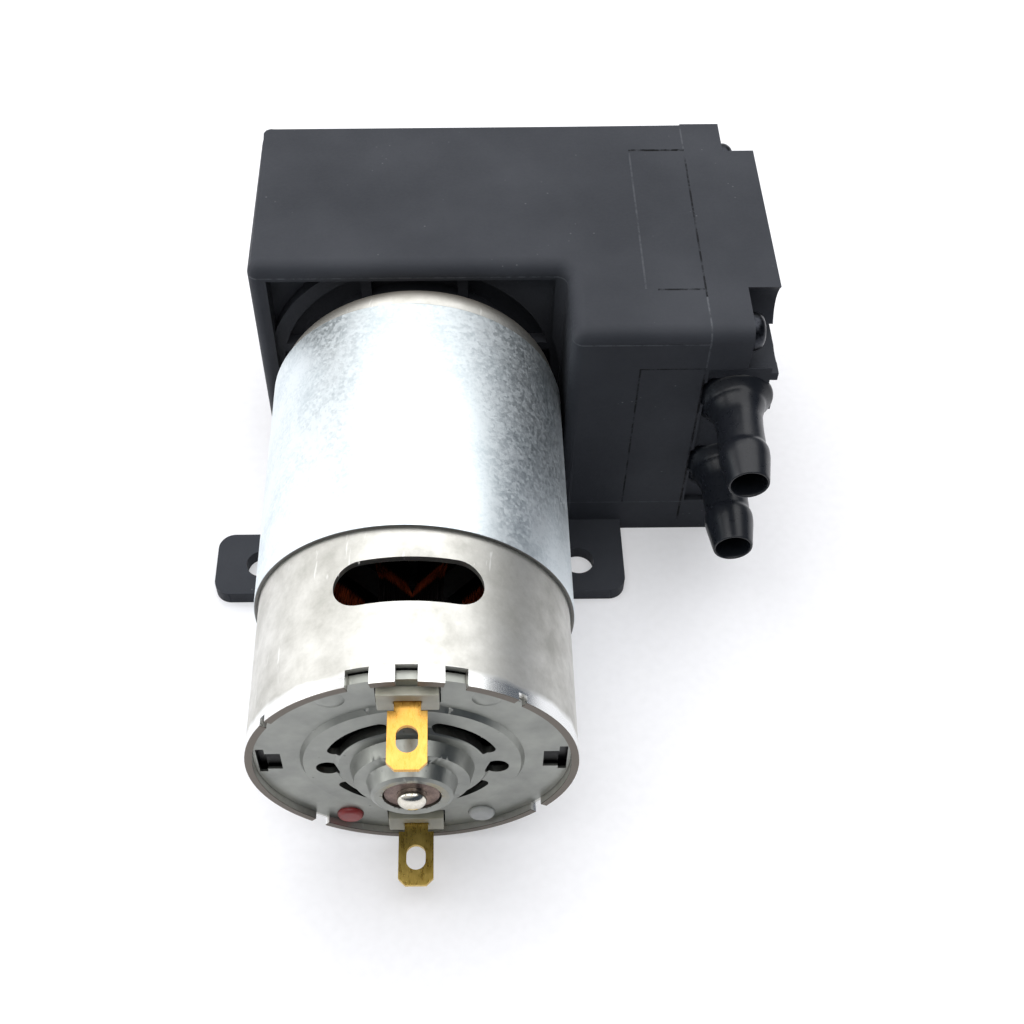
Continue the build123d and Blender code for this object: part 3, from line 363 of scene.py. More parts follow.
materials = {
    # glass-filled nylon off a spark-eroded tool: matt charcoal, fine grain, faint flow marks and pale specks
    "housing": mouldedNylon("mouldedGlassFilledNylon", ("#34363b", "#3d3f44"), (0.46, 0.6), 0.22, 0.03, 0.08, True),
    # the same nylon off polished cores: blacker, with a clear highlight
    "barb": mouldedNylon("polishedMouldNylon", ("#191b20", "#202329"), (0.26, 0.34), 0.5, 0.006, 0.3, False),
    "zincRing": zincStrip(),
    "can": drawnCan(),
    "bell": pressedPlate(),
    "card": nylonShadedInside(),
    # new brass strip: warm gold with faint rolling lines
    "brass": platedMetal("brightBrassStrip", ("#c28f40", "#d6a858"), (0.24, 0.34), 1.6, 0.2, (1, 3, 1), 0.004),
    # the same brass tarnished towards olive
    "oldBrass": platedMetal("tarnishedBrassStrip", ("#b99a48", "#d6b968"), (0.24, 0.34), 1.4, 0.2, (1, 3, 1),
                            0.004),
    # sintered bronze: brown, open pored
    "bronze": platedMetal("sinteredBronze", ("#5a4a46", "#8d7b74"), (0.34, 0.5), 0.6, 0.08),
    # ground and nickelled shaft steel: mirror bright with ring-shaped grinding lines
    "shaft": platedMetal("groundShaftSteel", ("#c9c3b4", "#ebe7dc"), (0.12, 0.22), 2.0, 0.15, (4, 1, 4)),
    # black-oxided screw steel: oily black with a soft sheen
    "screw": platedMetal("blackOxideSteel", ("#1b1c20", "#3a3c41"), (0.26, 0.4), 1.2, 0.2),
    # bright zinc on small steel parts
    "steel": platedMetal("brightZincSteel", ("#a2a6aa", "#c8ccd0"), (0.26, 0.4), 1.5, 0.2),
    # turned aluminium: light grey with ring-shaped tool lines
    "aluminium": platedMetal("turnedAluminium", ("#b7babc", "#dadcde"), (0.26, 0.38), 3.0, 0.15, (1, 6, 6)),
    # as-cast zinc alloy: dull with a pebbled skin
    "castWeight": platedMetal("castZincAlloy", ("#888a8c", "#abadaf"), (0.42, 0.6), 2.0, 0.5, None, 0.03),
    # stacked silicon steel: edges of thin sheets show as lines across the shaft
    "lamination": platedMetal("siliconSteelStack", ("#4c4f53", "#84878b"), (0.34, 0.5), 2.0, 0.2, (8, 1, 8), 0.04),
    # drawn copper bar, turned on the commutator
    "copper": platedMetal("turnedCopper", ("#ac6438", "#d48d5a"), (0.22, 0.38), 1.2, 0.15, (6, 1, 6)),
    "wire": coilWire(),
    "fibre": mouldedPlain("blackVulcanisedFibre", ("#0b0b0c", "#141415"), 0.6, 0.3),  # dull black slot liner
    "milkyNylon": mouldedPlain("naturalNylonWasher", ("#b9b8a6", "#d6d4c5"), 0.38, 0.2, 0.4),  # light sinks in
    # white nylon with the melted skin of a staked post, and the same under an uneven coat of red
    "whiteNylon": mouldedPlain("heatStakedWhiteNylon", ("#b4b6b3", "#cfd0cd"), 0.42, 0.18, 0.25, 0.02),
    "redPaint": mouldedPlain("redLacquerOnNylon", ("#8a2c2d", "#b54845"), 0.34, 0.25, 0.0, 0.03),
    "rodNylon": mouldedPlain("whiteAcetal", ("#c9c8c0", "#dddcd4"), 0.42, 0.3, 0.15),  # waxy white
    "valvePlate": mouldedPlain("greyFilledPlastic", ("#3a3c3f", "#4a4c50"), 0.45, 0.3),  # even dark grey
    # matt black rubber with a slight bloom, and chalky dark grey magnet
    "rubber": mouldedPlain("mouldedNitrileRubber", ("#161617", "#232325"), 0.62, 0.2, 0.0, 0.02),
    "ferrite": mouldedPlain("sinteredFerrite", ("#232426", "#333437"), 0.6, 0.3, 0.0, 0.03),
    "carbon": mouldedPlain("pressedCarbon", ("#1b1b1c", "#2c2c2d"), 0.5, 0.15),  # graphite sheen
}
print("materials made,", len(materials))


def addPiece(name, mesh, finish):
    piece = bpy.data.objects.new(name, mesh)
    bpy.context.scene.collection.objects.link(piece)
    mesh.materials.clear()
    mesh.materials.append(materials[finish])
    return piece


def seat(piece, body, slotName, *stoodFor):
    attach(piece, body)
    if stoodFor:
        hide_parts(*stoodFor)
    return piece


def asMesh(piece):
    # what the piece's modifiers make of it, as a plain mesh
    return bpy.data.meshes.new_from_object(piece.evaluated_get(bpy.context.evaluated_depsgraph_get()))


def shade(work, sharpDegrees):
    # smooth all over, but for edges that turn by more than the angle
    for edge in work.edges:
        edge.smooth = edge.calc_face_angle(pi) < radians(sharpDegrees)
    for face in work.faces:
        face.smooth = True


weld = {"join": 0.002, "flat": 0.4, "sharp": 28, "rounded from": 35, "longer than": 0.35, "room": 2.5,
        "segments": 2}


def welded(node, name, finish, edgeMm=0, leaveOut=None, reshape=None, round=False):
    # a copy of a CAD node's mesh with its triangles joined and flat areas made whole; only edges that are long
    # enough, and have faces wide enough beside them, are rounded
    mesh = nodes[node].data.copy()
    mesh.name = name
    work = bmesh.new()
    work.from_mesh(mesh)
    bmesh.ops.remove_doubles(work, verts=work.verts, dist=weld["join"] * mm)
    if leaveOut:
        dropped = [f for f in work.faces if any(leaveOut(v.co / mm) for v in f.verts)]
        bmesh.ops.delete(work, geom=dropped, context="FACES")
        bmesh.ops.holes_fill(work, edges=[e for e in work.edges if len(e.link_faces) == 1], sides=0)
    if reshape:
        for vertex in work.verts:
            vertex.co = Vector(reshape(*(vertex.co / mm))) * mm
        bmesh.ops.dissolve_degenerate(work, dist=weld["join"] * mm, edges=work.edges)
    bmesh.ops.dissolve_limit(work, angle_limit=radians(weld["flat"]), verts=work.verts, edges=work.edges)
    shade(work, weld["sharp"])
    if edgeMm:
        weight = work.edges.layers.float.new("bevel_weight_edge")
        for edge in work.edges:
            if len(edge.link_faces) != 2 or edge.calc_face_angle() < radians(weld["rounded from"]):
                continue
            long = edge.calc_length()
            beside = min(f.calc_area() for f in edge.link_faces)
            if long > weld["longer than"] * mm and beside > weld["room"] * edgeMm * mm * long:
                edge[weight] = 1
    work.to_mesh(mesh)
    work.free()
    piece = addPiece(name, mesh, finish)
    if edgeMm:
        bevel = piece.modifiers.new("edges", "BEVEL")
        bevel.width = edgeMm * mm
        bevel.segments = weld["segments"]
        bevel.limit_method = "WEIGHT"
        bevel.harden_normals = True
        flat = piece.modifiers.new("flats", "WEIGHTED_NORMAL")
        flat.keep_sharp = True
    if round:
        result = asMesh(piece)
        piece.modifiers.clear()
        piece.data = result
        radialNormals(result)
    return piece


def radialNormals(mesh):
    # on walls round the motor axis, every corner gets the true radial normal, so that long facets show no streaks
    normals = [n.vector.copy() for n in mesh.corner_normals]
    for face in mesh.polygons:
        out = Vector((face.center.x, 0, face.center.z - axisZ))
        facing = face.normal.dot(out.normalized()) if out.length > 1e-5 else 0
        if abs(face.normal.y) > 0.02 or abs(facing) < 0.99:
            continue
        for corner in face.loop_indices:
            at = mesh.vertices[mesh.loops[corner].vertex_index].co
            normals[corner] = Vector((at.x, 0, at.z - axisZ)).normalized() * (1 if facing > 0 else -1)
    mesh.normals_split_custom_set(normals)


def dressed(node, name, finish, slotName, **how):
    # a welded copy stands for the node, with its own finish
    return seat(welded(node, name, finish, **how), nodes[node]["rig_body"], slotName, node)


def rounded(points, radius, steps=4):
    # a profile with its inner corners turned into small arcs
    line = [Vector(p) for p in points]
    path = [line[0]]
    for before, corner, after in zip(line, line[1:], line[2:]):
        back, on = before - corner, after - corner
        reach = min(radius, back.length * 0.48, on.length * 0.48)
        start, end = corner + back.normalized() * reach, corner + on.normalized() * reach
        for k in range(steps + 1):
            t = k / steps
            path.append(start * (1 - t) ** 2 + corner * 2 * t * (1 - t) + end * t ** 2)
    return path + [line[-1]]


def turned(name, profile, centre, along, finish, segments=72, sharpDegrees=30):
    # a lathe piece: the profile is (distance along the axis, radius) in mm, from one pole to the other
    work = bmesh.new()
    lie = Vector(along).to_track_quat("Z", "X").to_matrix()
    rings = []
    for distance, radius in profile:
        ring = []
        for k in range(1 if radius < 1e-6 else segments):
            angle = 2 * pi * k / segments
            ring.append(work.verts.new(lie @ Vector((radius * cos(angle), radius * sin(angle), distance))))
        rings.append(ring)
    for low, high in zip(rings, rings[1:]):
        for k in range(segments):
            n = (k + 1) % segments
            corners = [low[k % len(low)], low[n % len(low)], high[n % len(high)], high[k % len(high)]]
            corners = list(dict.fromkeys(corners))
            if len(corners) > 2:
                work.faces.new(corners)
    bmesh.ops.recalc_face_normals(work, faces=work.faces)
    shade(work, sharpDegrees)
    for vertex in work.verts:
        vertex.co = (vertex.co + Vector(centre)) * mm
    mesh = bpy.data.meshes.new(name)
    work.to_mesh(mesh)
    work.free()
    return addPiece(name, mesh, finish)


def startTree(name, inputs):
    # a node tree whose named inputs are lengths, counts, angles, vectors or objects
    tree = bpy.data.node_groups.new(name, "GeometryNodeTree")
    kinds = {float: "NodeSocketFloat", int: "NodeSocketInt", tuple: "NodeSocketVector"}
    for label, value in inputs.items():
        kind = kinds.get(type(value), "NodeSocketObject")
        tree.interface.new_socket(label, in_out="INPUT", socket_type=kind)
    tree.interface.new_socket("Geometry", in_out="OUTPUT", socket_type="NodeSocketGeometry")
    return tree, addNode(tree, "NodeGroupInput")


def finishTree(tree, geometry, finish):
    whole = addNode(tree, "GeometryNodeRealizeInstances", (geometry,))[0]
    painted = addNode(tree, "GeometryNodeSetMaterial", {"Geometry": whole, "Material": materials[finish]})[0]
    addNode(tree, "NodeGroupOutput", (painted,))


def grown(name, tree, inputs, finish, sharpDegrees=30):
    # runs the tree on an empty mesh and keeps what it makes as a plain mesh
    host = bpy.data.objects.new(name + "Host", bpy.data.meshes.new(name + "Host"))
    bpy.context.scene.collection.objects.link(host)
    modifier = host.modifiers.new("build", "NODES")
    modifier.node_group = tree
    sockets = {item.name: item.identifier for item in tree.interface.items_tree if item.in_out == "INPUT"}
    for label, value in inputs.items():
        modifier[sockets[label]] = value
    result = asMesh(host)
    bpy.data.objects.remove(host)
    result.name = name
    work = bmesh.new()
    work.from_mesh(result)
    bmesh.ops.remove_doubles(work, verts=work.verts, dist=1e-6)
    bmesh.ops.recalc_face_normals(work, faces=work.faces)
    shade(work, sharpDegrees)
    work.to_mesh(result)
    work.free()
    return addPiece(name, result, finish)


# housing and cover: moulded edges are rounded; head: its edges stay crisp and its ports are turned afresh
topEdge = {"radius": 1.8, "left": -20.5, "back": 45.8, "top": 37.7, "frontEnd": 20.4}


def squareTop(x, y, z):
    # the left and back top edges are crisp: their rounding is pushed out to the square corner
    r = topEdge["radius"]
    dx, dy, dz = topEdge["left"] + r - x, y - topEdge["back"] + r, z - topEdge["top"] + r
    if dz <= 0.001 or y < topEdge["frontEnd"] - 0.01 or (dx <= 0.001 and dy <= 0.001):
        return x, y, z
    if dx > 0.001 and dy > 0.001:
        return x, y, topEdge["top"] if dz > 0.7 * max(dx, dy) else z
    out = max(dx, dy)
    grow = r / max(out, dz) if (out * out + dz * dz) > (0.97 * r) ** 2 else 1
    x = topEdge["left"] + r - dx * grow if dx > 0.001 else x
    y = topEdge["back"] - r + dy * grow if dy > 0.001 else y
    return x, y, topEdge["top"] - r + dz * grow


def isPort(point):
    # the ports are all that stands in front of the head's block
    return point.y < headForm["front"]


def bluntLip(x, y, z):
    # the thin lip where each scallop runs out into the recess in front is blunted
    low, high = lip["band"]
    if x > lip["from"] and y < lip["before"] and low < abs(z - axisMm) < high:
        return min(x, lip["skin"]), lip["blunt"], axisMm + copysign(lip["dz"], z - axisMm)
    return x, y, z


def shortPosts(x, y, z):
    # the staked posts stand only a little out of the plate
    near = abs(abs(x) - posts["x"]) < posts["reach"] and z < axisMm + posts["dz"] + posts["reach"]
    return (x, bellFace - posts["shown"], z) if near and y < bellFace - posts["cut"] else (x, y, z)


headForm = {"front": 6.8}
lip = {"from": 40, "before": 7.1, "band": (12.65, 13.05), "skin": 43.7, "blunt": 7.08, "dz": 12.7}
posts = {"x": 7.55, "dz": -13.1, "r": 1.5, "shown": 0.25, "proud": 0.3, "sunk": 0.8, "cut": 0.5, "reach": 2}
dressed("pump_housing", "pumpHousingSkin", "housing", "housing_nylon", edgeMm=0.22, reshape=squareTop)
dressed("pump_head", "pumpHeadSkin", "housing", "head_nylon", leaveOut=isPort, reshape=bluntLip)
dressed("rear_cover", "rearCoverSkin", "housing", "housing_nylon", edgeMm=0.15)
dressed("motor_can", "motorCanShell", "can", "zinc_can", edgeMm=0.1, round=True)
dressed("end_bell", "endBellPressing", "bell", "zinc_bell", edgeMm=0.18, round=True)
dressed("brush_card", "brushCardMoulding", "card", "white_nylon", edgeMm=0.2, reshape=shortPosts)
dressed("positive_terminal", "positiveTab", "brass", "terminal_brass", edgeMm=0.08)
dressed("negative_terminal", "negativeTab", "oldBrass", "terminal_brass", edgeMm=0.08)
print("shells dressed")

# hose ports: a barb, a short land, a straight neck that widens to the root, and a flare where it meets the head;
# the outline runs from the root to the mouth and back along the bore, as (distance behind the front, radius)
port = {"x": 39.6, "dz": 6.35, "bore": 2.1, "boreEnd": 7.0, "root": 8.2, "segments": 96, "round": 0.7}
barb = rounded([(port["root"], 0), (port["root"], 4.75), (7.6, 4.7), (7.25, 4.3), (6.95, 4.0), (6.55, 3.66),
                (6.0, 3.52), (5.2, 3.2), (4.4, 2.98), (2.6, 2.84), (-0.35, 2.78), (-0.95, 3.05), (-1.95, 3.05),
                (-5.5, 2.5), (-5.78, 2.42), (-5.78, 2.2), (-5.5, port["bore"]),
                (port["boreEnd"], port["bore"]), (port["boreEnd"], 0)], port["round"])
for name, side in (("inletBarb", 1), ("outletBarb", -1)):
    centre = (port["x"], 0, axisMm + side * port["dz"])
    seat(turned(name, [(-d, r) for d, r in barb], centre, (0, -1, 0), "barb", port["segments"], 40), "pump_body",
         "head_nylon")
print("ports turned")

# end details of the motor: the domed shaft, two staked posts, two pressed dimples in the bell
shaftForm = {"r": 1.5875, "rear": -43.65, "front": 35.5, "dome": 1.0, "chamfer": 0.4, "steps": 9}
profile = []
for k in range(shaftForm["steps"] + 1):
    bend = pi / 2 * k / shaftForm["steps"]
    profile.append((-shaftForm["rear"] - shaftForm["dome"] * (1 - cos(bend)), shaftForm["r"] * sin(bend)))
profile += [(-shaftForm["front"] + shaftForm["chamfer"], shaftForm["r"]),
            (-shaftForm["front"], shaftForm["r"] - shaftForm["chamfer"]), (-shaftForm["front"], 0)]
seat(turned("motorShaftGround", profile, (0, 0, axisMm), (0, -1, 0), "shaft", 64, 50), "motor_rotor", "steel",
     "motor_shaft")

for name, side, finish in (("markedPostCap", -1, "redPaint"), ("plainPostCap", 1, "whiteNylon")):
    cap = rounded([(posts["sunk"], 0), (posts["sunk"], posts["r"]), (0, posts["r"]),
                   (-posts["proud"], posts["r"] * 0.8), (-posts["proud"], 0)], 0.2)
    centre = (side * posts["x"], bellFace - posts["shown"], axisMm + posts["dz"])
    seat(turned(name, [(-d, r) for d, r in cap], centre, (0, -1, 0), finish, 48), "pump_body", "white_nylon")

dimple = {"x": 7.9, "dz": 13.1, "r": 1.6, "proud": 0.24, "sunk": 0.3}
for name, side in (("leftDimple", -1), ("rightDimple", 1)):
    form = rounded([(dimple["sunk"], 0), (dimple["sunk"], dimple["r"]), (0.02, dimple["r"]),
                    (-dimple["proud"], dimple["r"] * 0.55), (-dimple["proud"] * 0.8, 0)], 0.6)
    centre = (side * dimple["x"], bellFace, axisMm + dimple["dz"])
    seat(turned(name, [(-d, r) for d, r in form], centre, (0, -1, 0), "bell", 48, 70), "pump_body", "zinc_bell")
print("motor end finished")

# flux ring: the strip swept round an arc
tree, given = startTree("rolledRing", strip)
sweep = addNode(tree, "ShaderNodeMath", (2 * pi, given["Gap"]), operation="SUBTRACT")[0]
start = addNode(tree, "ShaderNodeMath", (given["Gap"], 0.5, -pi / 2), operation="MULTIPLY_ADD")[0]
arc = addNode(tree, "GeometryNodeCurveArc", {"Resolution": given["Facets"], "Radius": given["Radius"],
                                             "Start Angle": start, "Sweep Angle": sweep})["Curve"]
section = addNode(tree, "GeometryNodeCurvePrimitiveQuadrilateral",
                  {"Width": given["Wall"], "Height": given["Length"]})["Curve"]
section = addNode(tree, "GeometryNodeFilletCurve", {"Curve": section, "Radius": given["Edge"], "Count": 3},
                  mode="POLY")["Curve"]
rolled = addNode(tree, "GeometryNodeCurveToMesh",
                 {"Curve": arc, "Profile Curve": section, "Fill Caps": True})["Mesh"]
rolled = addNode(tree, "GeometryNodeTransform",
                 {"Geometry": rolled, "Rotation": (pi / 2, 0, 0), "Translation": given["Middle"]})[0]
across = addNode(tree, "ShaderNodeSeparateXYZ", (addNode(tree, "GeometryNodeInputPosition")[0],))["X"]
slip = addNode(tree, "ShaderNodeMath", (across, given["Skew"]), operation="MULTIPLY")[0]
lean = addNode(tree, "ShaderNodeCombineXYZ", {"Y": slip})[0]
rolled = addNode(tree, "GeometryNodeSetPosition", {"Geometry": rolled, "Offset": lean})[0]
finishTree(tree, rolled, "zincRing")
seat(grown("fluxRingStrip", tree, strip, "zincRing"), "pump_body", "zinc_ring", "flux_ring")
print("flux ring rolled")


# screws: one pan head with a cross recess, set on the corners of each pattern; the recess is in parts of the head
recess = {"long": 1.15, "wide": 0.24, "taper": 0.62, "middle": 0.65, "deep": 0.9, "turn": 0.5}


def panScrew(name, headR, headH, shankR, length):
    profile = rounded([(headH, 0), (headH, headR * 0.72), (headH * 0.55, headR), (0, headR), (0, shankR),
                       (-length, shankR), (-length, 0)], 0.5)
    screw = turned(name, profile, (0, 0, 0), (0, 0, 1), "screw", 48)
    work = bmesh.new()
    for turnBy in (0, pi / 2):
        bar = bmesh.ops.create_cube(work, size=1)["verts"]
        for vertex in bar:
            x, y, z = vertex.co
            taper = 1 if z > 0 else recess["taper"]
            along, across = x * headR * recess["long"] * taper, y * headR * recess["wide"] * taper
            vertex.co = Vector((along, across, headH * recess["middle"] + z * headH * recess["deep"])) * mm
        bmesh.ops.rotate(work, verts=bar, matrix=Matrix.Rotation(turnBy + recess["turn"], 3, "Z"))
    mesh = bpy.data.meshes.new(name + "Recess")
    work.to_mesh(mesh)
    work.free()
    cutter = addPiece(name + "Recess", mesh, "screw")
    cut = screw.modifiers.new("recess", "BOOLEAN")
    cut.operation, cut.solver, cut.object = "DIFFERENCE", "EXACT", cutter
    cut.use_self = True
    result = asMesh(screw)
    for leftover in (screw, cutter):
        bpy.data.objects.remove(leftover)
    return addPiece(name, result, "screw")


headLow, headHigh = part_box("head_screws")
coverLow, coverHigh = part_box("rear_cover_screws")
fullTurn = 6.283
headScrew = {"headR": 2.35, "headH": 1.9, "shankR": 1.25, "length": 15.9}
coverScrew = {"headR": 2.0, "headH": 1.05, "shankR": 0.9, "length": 8.5}
fromEdge = {"z": 2.75, "y": 2.55, "back": 0.2}  # the head screws' centres in from their box, and how far back
headSet = {"Across": headHigh.z - headLow.z - 2 * fromEdge["z"] * mm,
           "Up": headHigh.y - headLow.y - 2 * fromEdge["y"] * mm, "Turn": (0.0, pi / 2, 0.0),
           "Middle": (headHigh.x - headScrew["headH"] * mm,
                      (headLow.y + headHigh.y) / 2 + fromEdge["back"] * mm, axisZ)}
coverSet = {"Across": coverHigh.x - coverLow.x - 2 * coverScrew["headR"] * mm,
            "Up": coverHigh.z - coverLow.z - 2 * coverScrew["headR"] * mm, "Turn": (-pi / 2, 0.0, 0.0),
            "Middle": ((coverLow.x + coverHigh.x) / 2, coverHigh.y - coverScrew["headH"] * mm, axisZ)}
patterns = {"headScrewSet": (headSet, headScrew, "head_screws"),
            "coverScrewSet": (coverSet, coverScrew, "rear_cover_screws")}
for name, (sizes, form, stoodFor) in patterns.items():
    single = panScrew(name + "One", **form)
    sizes = dict(sizes, Screw=single)
    tree, given = startTree(name + "Tree", sizes)
    corners = addNode(tree, "GeometryNodeMeshGrid",
                      {"Vertices X": 2, "Vertices Y": 2, "Size X": given["Across"], "Size Y": given["Up"]})["Mesh"]
    shape = addNode(tree, "GeometryNodeObjectInfo", {"Object": given["Screw"]},
                    transform_space="ORIGINAL")["Geometry"]
    spin = addNode(tree, "FunctionNodeRandomValue", {2: 0.0, 3: fullTurn, "Seed": 7}, data_type="FLOAT")[1]
    turnAbout = addNode(tree, "ShaderNodeCombineXYZ", {"Z": spin})[0]
    placed = addNode(tree, "GeometryNodeInstanceOnPoints",
                     {"Points": corners, "Instance": shape, "Rotation": turnAbout})[0]
    placed = addNode(tree, "GeometryNodeTransform",
                     {"Geometry": placed, "Translation": given["Middle"], "Rotation": given["Turn"]})[0]
    finishTree(tree, placed, "screw")
    seat(grown(name, tree, sizes, "screw"), "pump_body", "black_screw", stoodFor)
    bpy.data.objects.remove(single)
print("screws set")

# armature winding: two layers of turns on each of the five poles; the inner layer is offset by half a pitch
tree, given = startTree("coilTurns", winding)
layers = []
for depth in (0, 1):
    inset = addNode(tree, "ShaderNodeMath", (given["Layer"], -2.0 * depth, 0.0), operation="MULTIPLY_ADD")[0]
    width = addNode(tree, "ShaderNodeMath", (given["Half width"], 2.0, inset), operation="MULTIPLY_ADD")[0]
    long = addNode(tree, "ShaderNodeMath", (given["Length"], inset), operation="ADD")[0]
    loop = addNode(tree, "GeometryNodeCurvePrimitiveQuadrilateral", {"Width": width, "Height": long})["Curve"]
    loop = addNode(tree, "GeometryNodeFilletCurve", {"Curve": loop, "Count": 5, "Radius": given["Corner"]},
                   mode="POLY")["Curve"]
    rise = addNode(tree, "ShaderNodeMath", (given["Pitch"], 0.5 * depth), operation="MULTIPLY")[0]
    foot = addNode(tree, "ShaderNodeMath", (given["Inner radius"], rise), operation="ADD")[0]
    foot = addNode(tree, "ShaderNodeCombineXYZ", {"Z": foot})[0]
    stack = addNode(tree, "ShaderNodeCombineXYZ", {"Z": given["Pitch"]})[0]
    line = addNode(tree, "GeometryNodeMeshLine",
                   {"Count": given["Levels"], "Start Location": foot, "Offset": stack})["Mesh"]
    layers.append(addNode(tree, "GeometryNodeInstanceOnPoints", {"Points": line, "Instance": loop})[0])
both = addNode(tree, "GeometryNodeJoinGeometry")[0]
for layer in layers:
    tree.links.new(layer, both.node.inputs[0])
turns = addNode(tree, "GeometryNodeRealizeInstances", (both,))[0]
turns = addNode(tree, "GeometryNodeResampleCurve", {"Curve": turns, "Count": given["Points"]})[0]
x, y, z = addNode(tree, "ShaderNodeSeparateXYZ", (addNode(tree, "GeometryNodeInputPosition")[0],))
far = addNode(tree, "ShaderNodeMath", (y,), operation="ABSOLUTE")[0]
far = addNode(tree, "ShaderNodeMath", (far, given["Length"]), operation="DIVIDE")[0]
far = addNode(tree, "ShaderNodeMapRange", (far, given["Bow from"], given["Bow to"]),
              interpolation_type="SMOOTHSTEP")[0]
bow = addNode(tree, "ShaderNodeMath", (far, given["Bow"]), operation="MULTIPLY")[0]
bow = addNode(tree, "ShaderNodeMath", (x, bow), operation="MULTIPLY")[0]
bow = addNode(tree, "ShaderNodeCombineXYZ", {"X": bow})[0]
turns = addNode(tree, "GeometryNodeSetPosition", {"Geometry": turns, "Offset": bow})[0]
jitter = addNode(tree, "FunctionNodeRandomValue", {0: (-1, -1, -1), 1: (1, 1, 1), "Seed": 11},
                 data_type="FLOAT_VECTOR")[0]
jitter = addNode(tree, "ShaderNodeVectorMath", {0: jitter, "Scale": given["Slack"]}, operation="SCALE")[0]
turns = addNode(tree, "GeometryNodeSetPosition", {"Geometry": turns, "Offset": jitter})[0]
wireSection = addNode(tree, "GeometryNodeCurvePrimitiveCircle",
                      {"Resolution": given["Facets"], "Radius": given["Wire"]})["Curve"]
coil = addNode(tree, "GeometryNodeCurveToMesh", {"Curve": turns, "Profile Curve": wireSection})["Mesh"]
hubs = addNode(tree, "GeometryNodeMeshLine", {"Count": given["Poles"], "Offset": (0, 0, 0)})["Mesh"]
which = addNode(tree, "GeometryNodeInputIndex")[0]
angle = addNode(tree, "ShaderNodeMath", (which, given["Step"], given["First"]), operation="MULTIPLY_ADD")[0]
around = addNode(tree, "ShaderNodeCombineXYZ", {"Y": angle})[0]
coils = addNode(tree, "GeometryNodeInstanceOnPoints", {"Points": hubs, "Instance": coil, "Rotation": around})[0]
coils = addNode(tree, "GeometryNodeTransform", {"Geometry": coils, "Translation": given["Middle"]})[0]
finishTree(tree, coils, "wire")
seat(grown("coilTurns", tree, winding, "wire", 60), "motor_rotor", "copper", "armature_coils")
print("armature wound")

inner = {
    "motor_screws": "steel", "head_gasket": "rubber",
    "outer_valve_plate": "valvePlate", "inner_valve_plate": "valvePlate",
    "inlet_valve": "rubber", "outlet_valve": "rubber", "diaphragm": "rubber",
    "diaphragm_backing_disc": "aluminium", "diaphragm_clamp_disc": "aluminium", "diaphragm_screw": "steel",
    "connecting_rod": "rodNylon", "bearing_outer_ring": "steel", "bearing_inner_ring": "steel",
    "bearing_balls": "shaft", "eccentric": "castWeight", "eccentric_grub_screw": "screw",
    "rear_bearing": "bronze", "front_bearing": "bronze", "magnets": "ferrite", "magnet_clips": "steel",
    "brush_arms": "bronze", "brushes": "carbon", "armature_core": "lamination",
    "end_insulators": "fibre", "commutator_hub": "carbon",
    "commutator_segments": "copper", "thrust_washers": "milkyNylon",
}
for node, finish in inner.items():
    mesh = nodes[node].data
    mesh.materials.clear()
    mesh.materials.append(materials[finish])
print("inner pieces finished,", len(inner))

camera = {"at": (5.392, -107.396, 153.808), "down": 53.032, "toRight": 0.696, "lens": 48.81, "sensor": 36,
          "shift": (0.04066, 0.00838)}
lens = bpy.data.cameras.new("camera")
lens.lens = camera["lens"]
lens.sensor_width = camera["sensor"]
lens.shift_x, lens.shift_y = camera["shift"]
lens.clip_start, lens.clip_end = 0.005, 20
eye = bpy.data.objects.new("camera", lens)
eye.location = [c * mm for c in camera["at"]]
eye.rotation_euler = (radians(90 - camera["down"]), 0, radians(-camera["toRight"]))
bpy.context.scene.collection.objects.link(eye)
bpy.context.scene.camera = eye


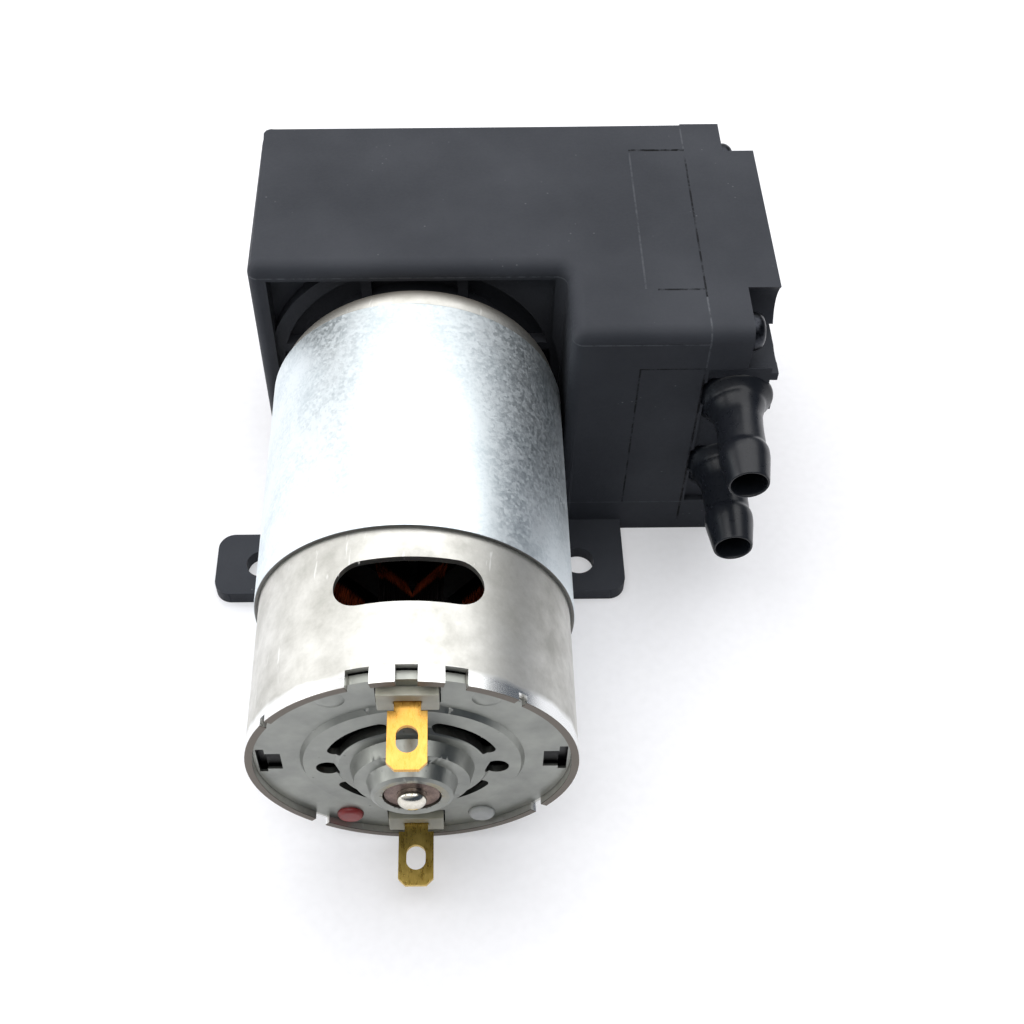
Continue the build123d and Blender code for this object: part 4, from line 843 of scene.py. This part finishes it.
def paleTable():
    # white laminate: a little light of its own, only for the camera and in reflections, keeps it white
    material, tree, shader, place = newMaterial("whiteTableLaminate")
    pebble = addNode(tree, "ShaderNodeTexNoise", {"Vector": place, "Scale": perGrain(0.6), "Detail": 2})[0]
    tone = addNode(tree, "ShaderNodeMix", {0: pebble, 6: "#c6c6ca", 7: "#d0d0d4"}, data_type="RGBA")[2]
    rays = addNode(tree, "ShaderNodeLightPath")
    seen = addNode(tree, "ShaderNodeMath", (rays["Is Camera Ray"], rays["Is Glossy Ray"]), operation="ADD")[0]
    seen = addNode(tree, "ShaderNodeMath", (seen, rays["Is Transmission Ray"]), operation="ADD", use_clamp=True)[0]
    glow = addNode(tree, "ShaderNodeMath", (seen, floorForm["glow"]), operation="MULTIPLY")[0]
    feed(tree, shader,
         {"Base Color": tone, "Roughness": 0.6, "Emission Strength": glow, "Emission Color": (1, 1, 1, 1)})
    return material


floorForm = {"size": 4, "below": 0.00005, "glow": 0.32}
bpy.ops.mesh.primitive_plane_add(size=floorForm["size"], location=(0, 0, -floorForm["below"]))
floor = bpy.context.object
floor.name = "floor"
floor.data.materials.append(paleTable())

# sky: pale overhead and to the left, dark at the front and the right, so that upright faces stay deep
sky = {"bright side": (-0.45, 0.4, 0.8), "horizon": (0.06, 0.075, 0.1, 1), "zenith": (0.9, 0.9, 0.9, 1),
       "strength": 0.95}
world = bpy.data.worlds.new("studio")
bpy.context.scene.world = world
world.use_nodes = True
tree = world.node_tree
towards = addNode(tree, "ShaderNodeTexCoord")["Generated"]
up = addNode(tree, "ShaderNodeVectorMath", (towards, sky["bright side"]), operation="DOT_PRODUCT")["Value"]
rise = addNode(tree, "ShaderNodeMapRange", (up, 0.05, 0.75))[0]
shadeOfSky = addNode(tree, "ShaderNodeMix", {0: rise, 6: sky["horizon"], 7: sky["zenith"]}, data_type="RGBA")[2]
feed(tree, tree.nodes["Background"], {"Color": shadeOfSky, "Strength": sky["strength"]})

lamps = {  # place, aim, size in mm, watts
    "overhead": ((30, 110, 520), (5, 10, 20), 850, 4.1),
    "leftFill": ((-460, 60, 200), (0, -10, 20), 300, 0.7),
}
for name, (at, aim, size, power) in lamps.items():
    light = bpy.data.lights.new(name, "AREA")
    light.size = size * mm
    light.energy = power
    lamp = bpy.data.objects.new(name, light)
    lamp.location = [c * mm for c in at]
    lamp.rotation_euler = (Vector(aim) - Vector(at)).to_track_quat("-Z", "Y").to_euler()
    bpy.context.scene.collection.objects.link(lamp)
bpy.context.scene.view_settings.view_transform = "Standard"
print("floor, light and camera set")
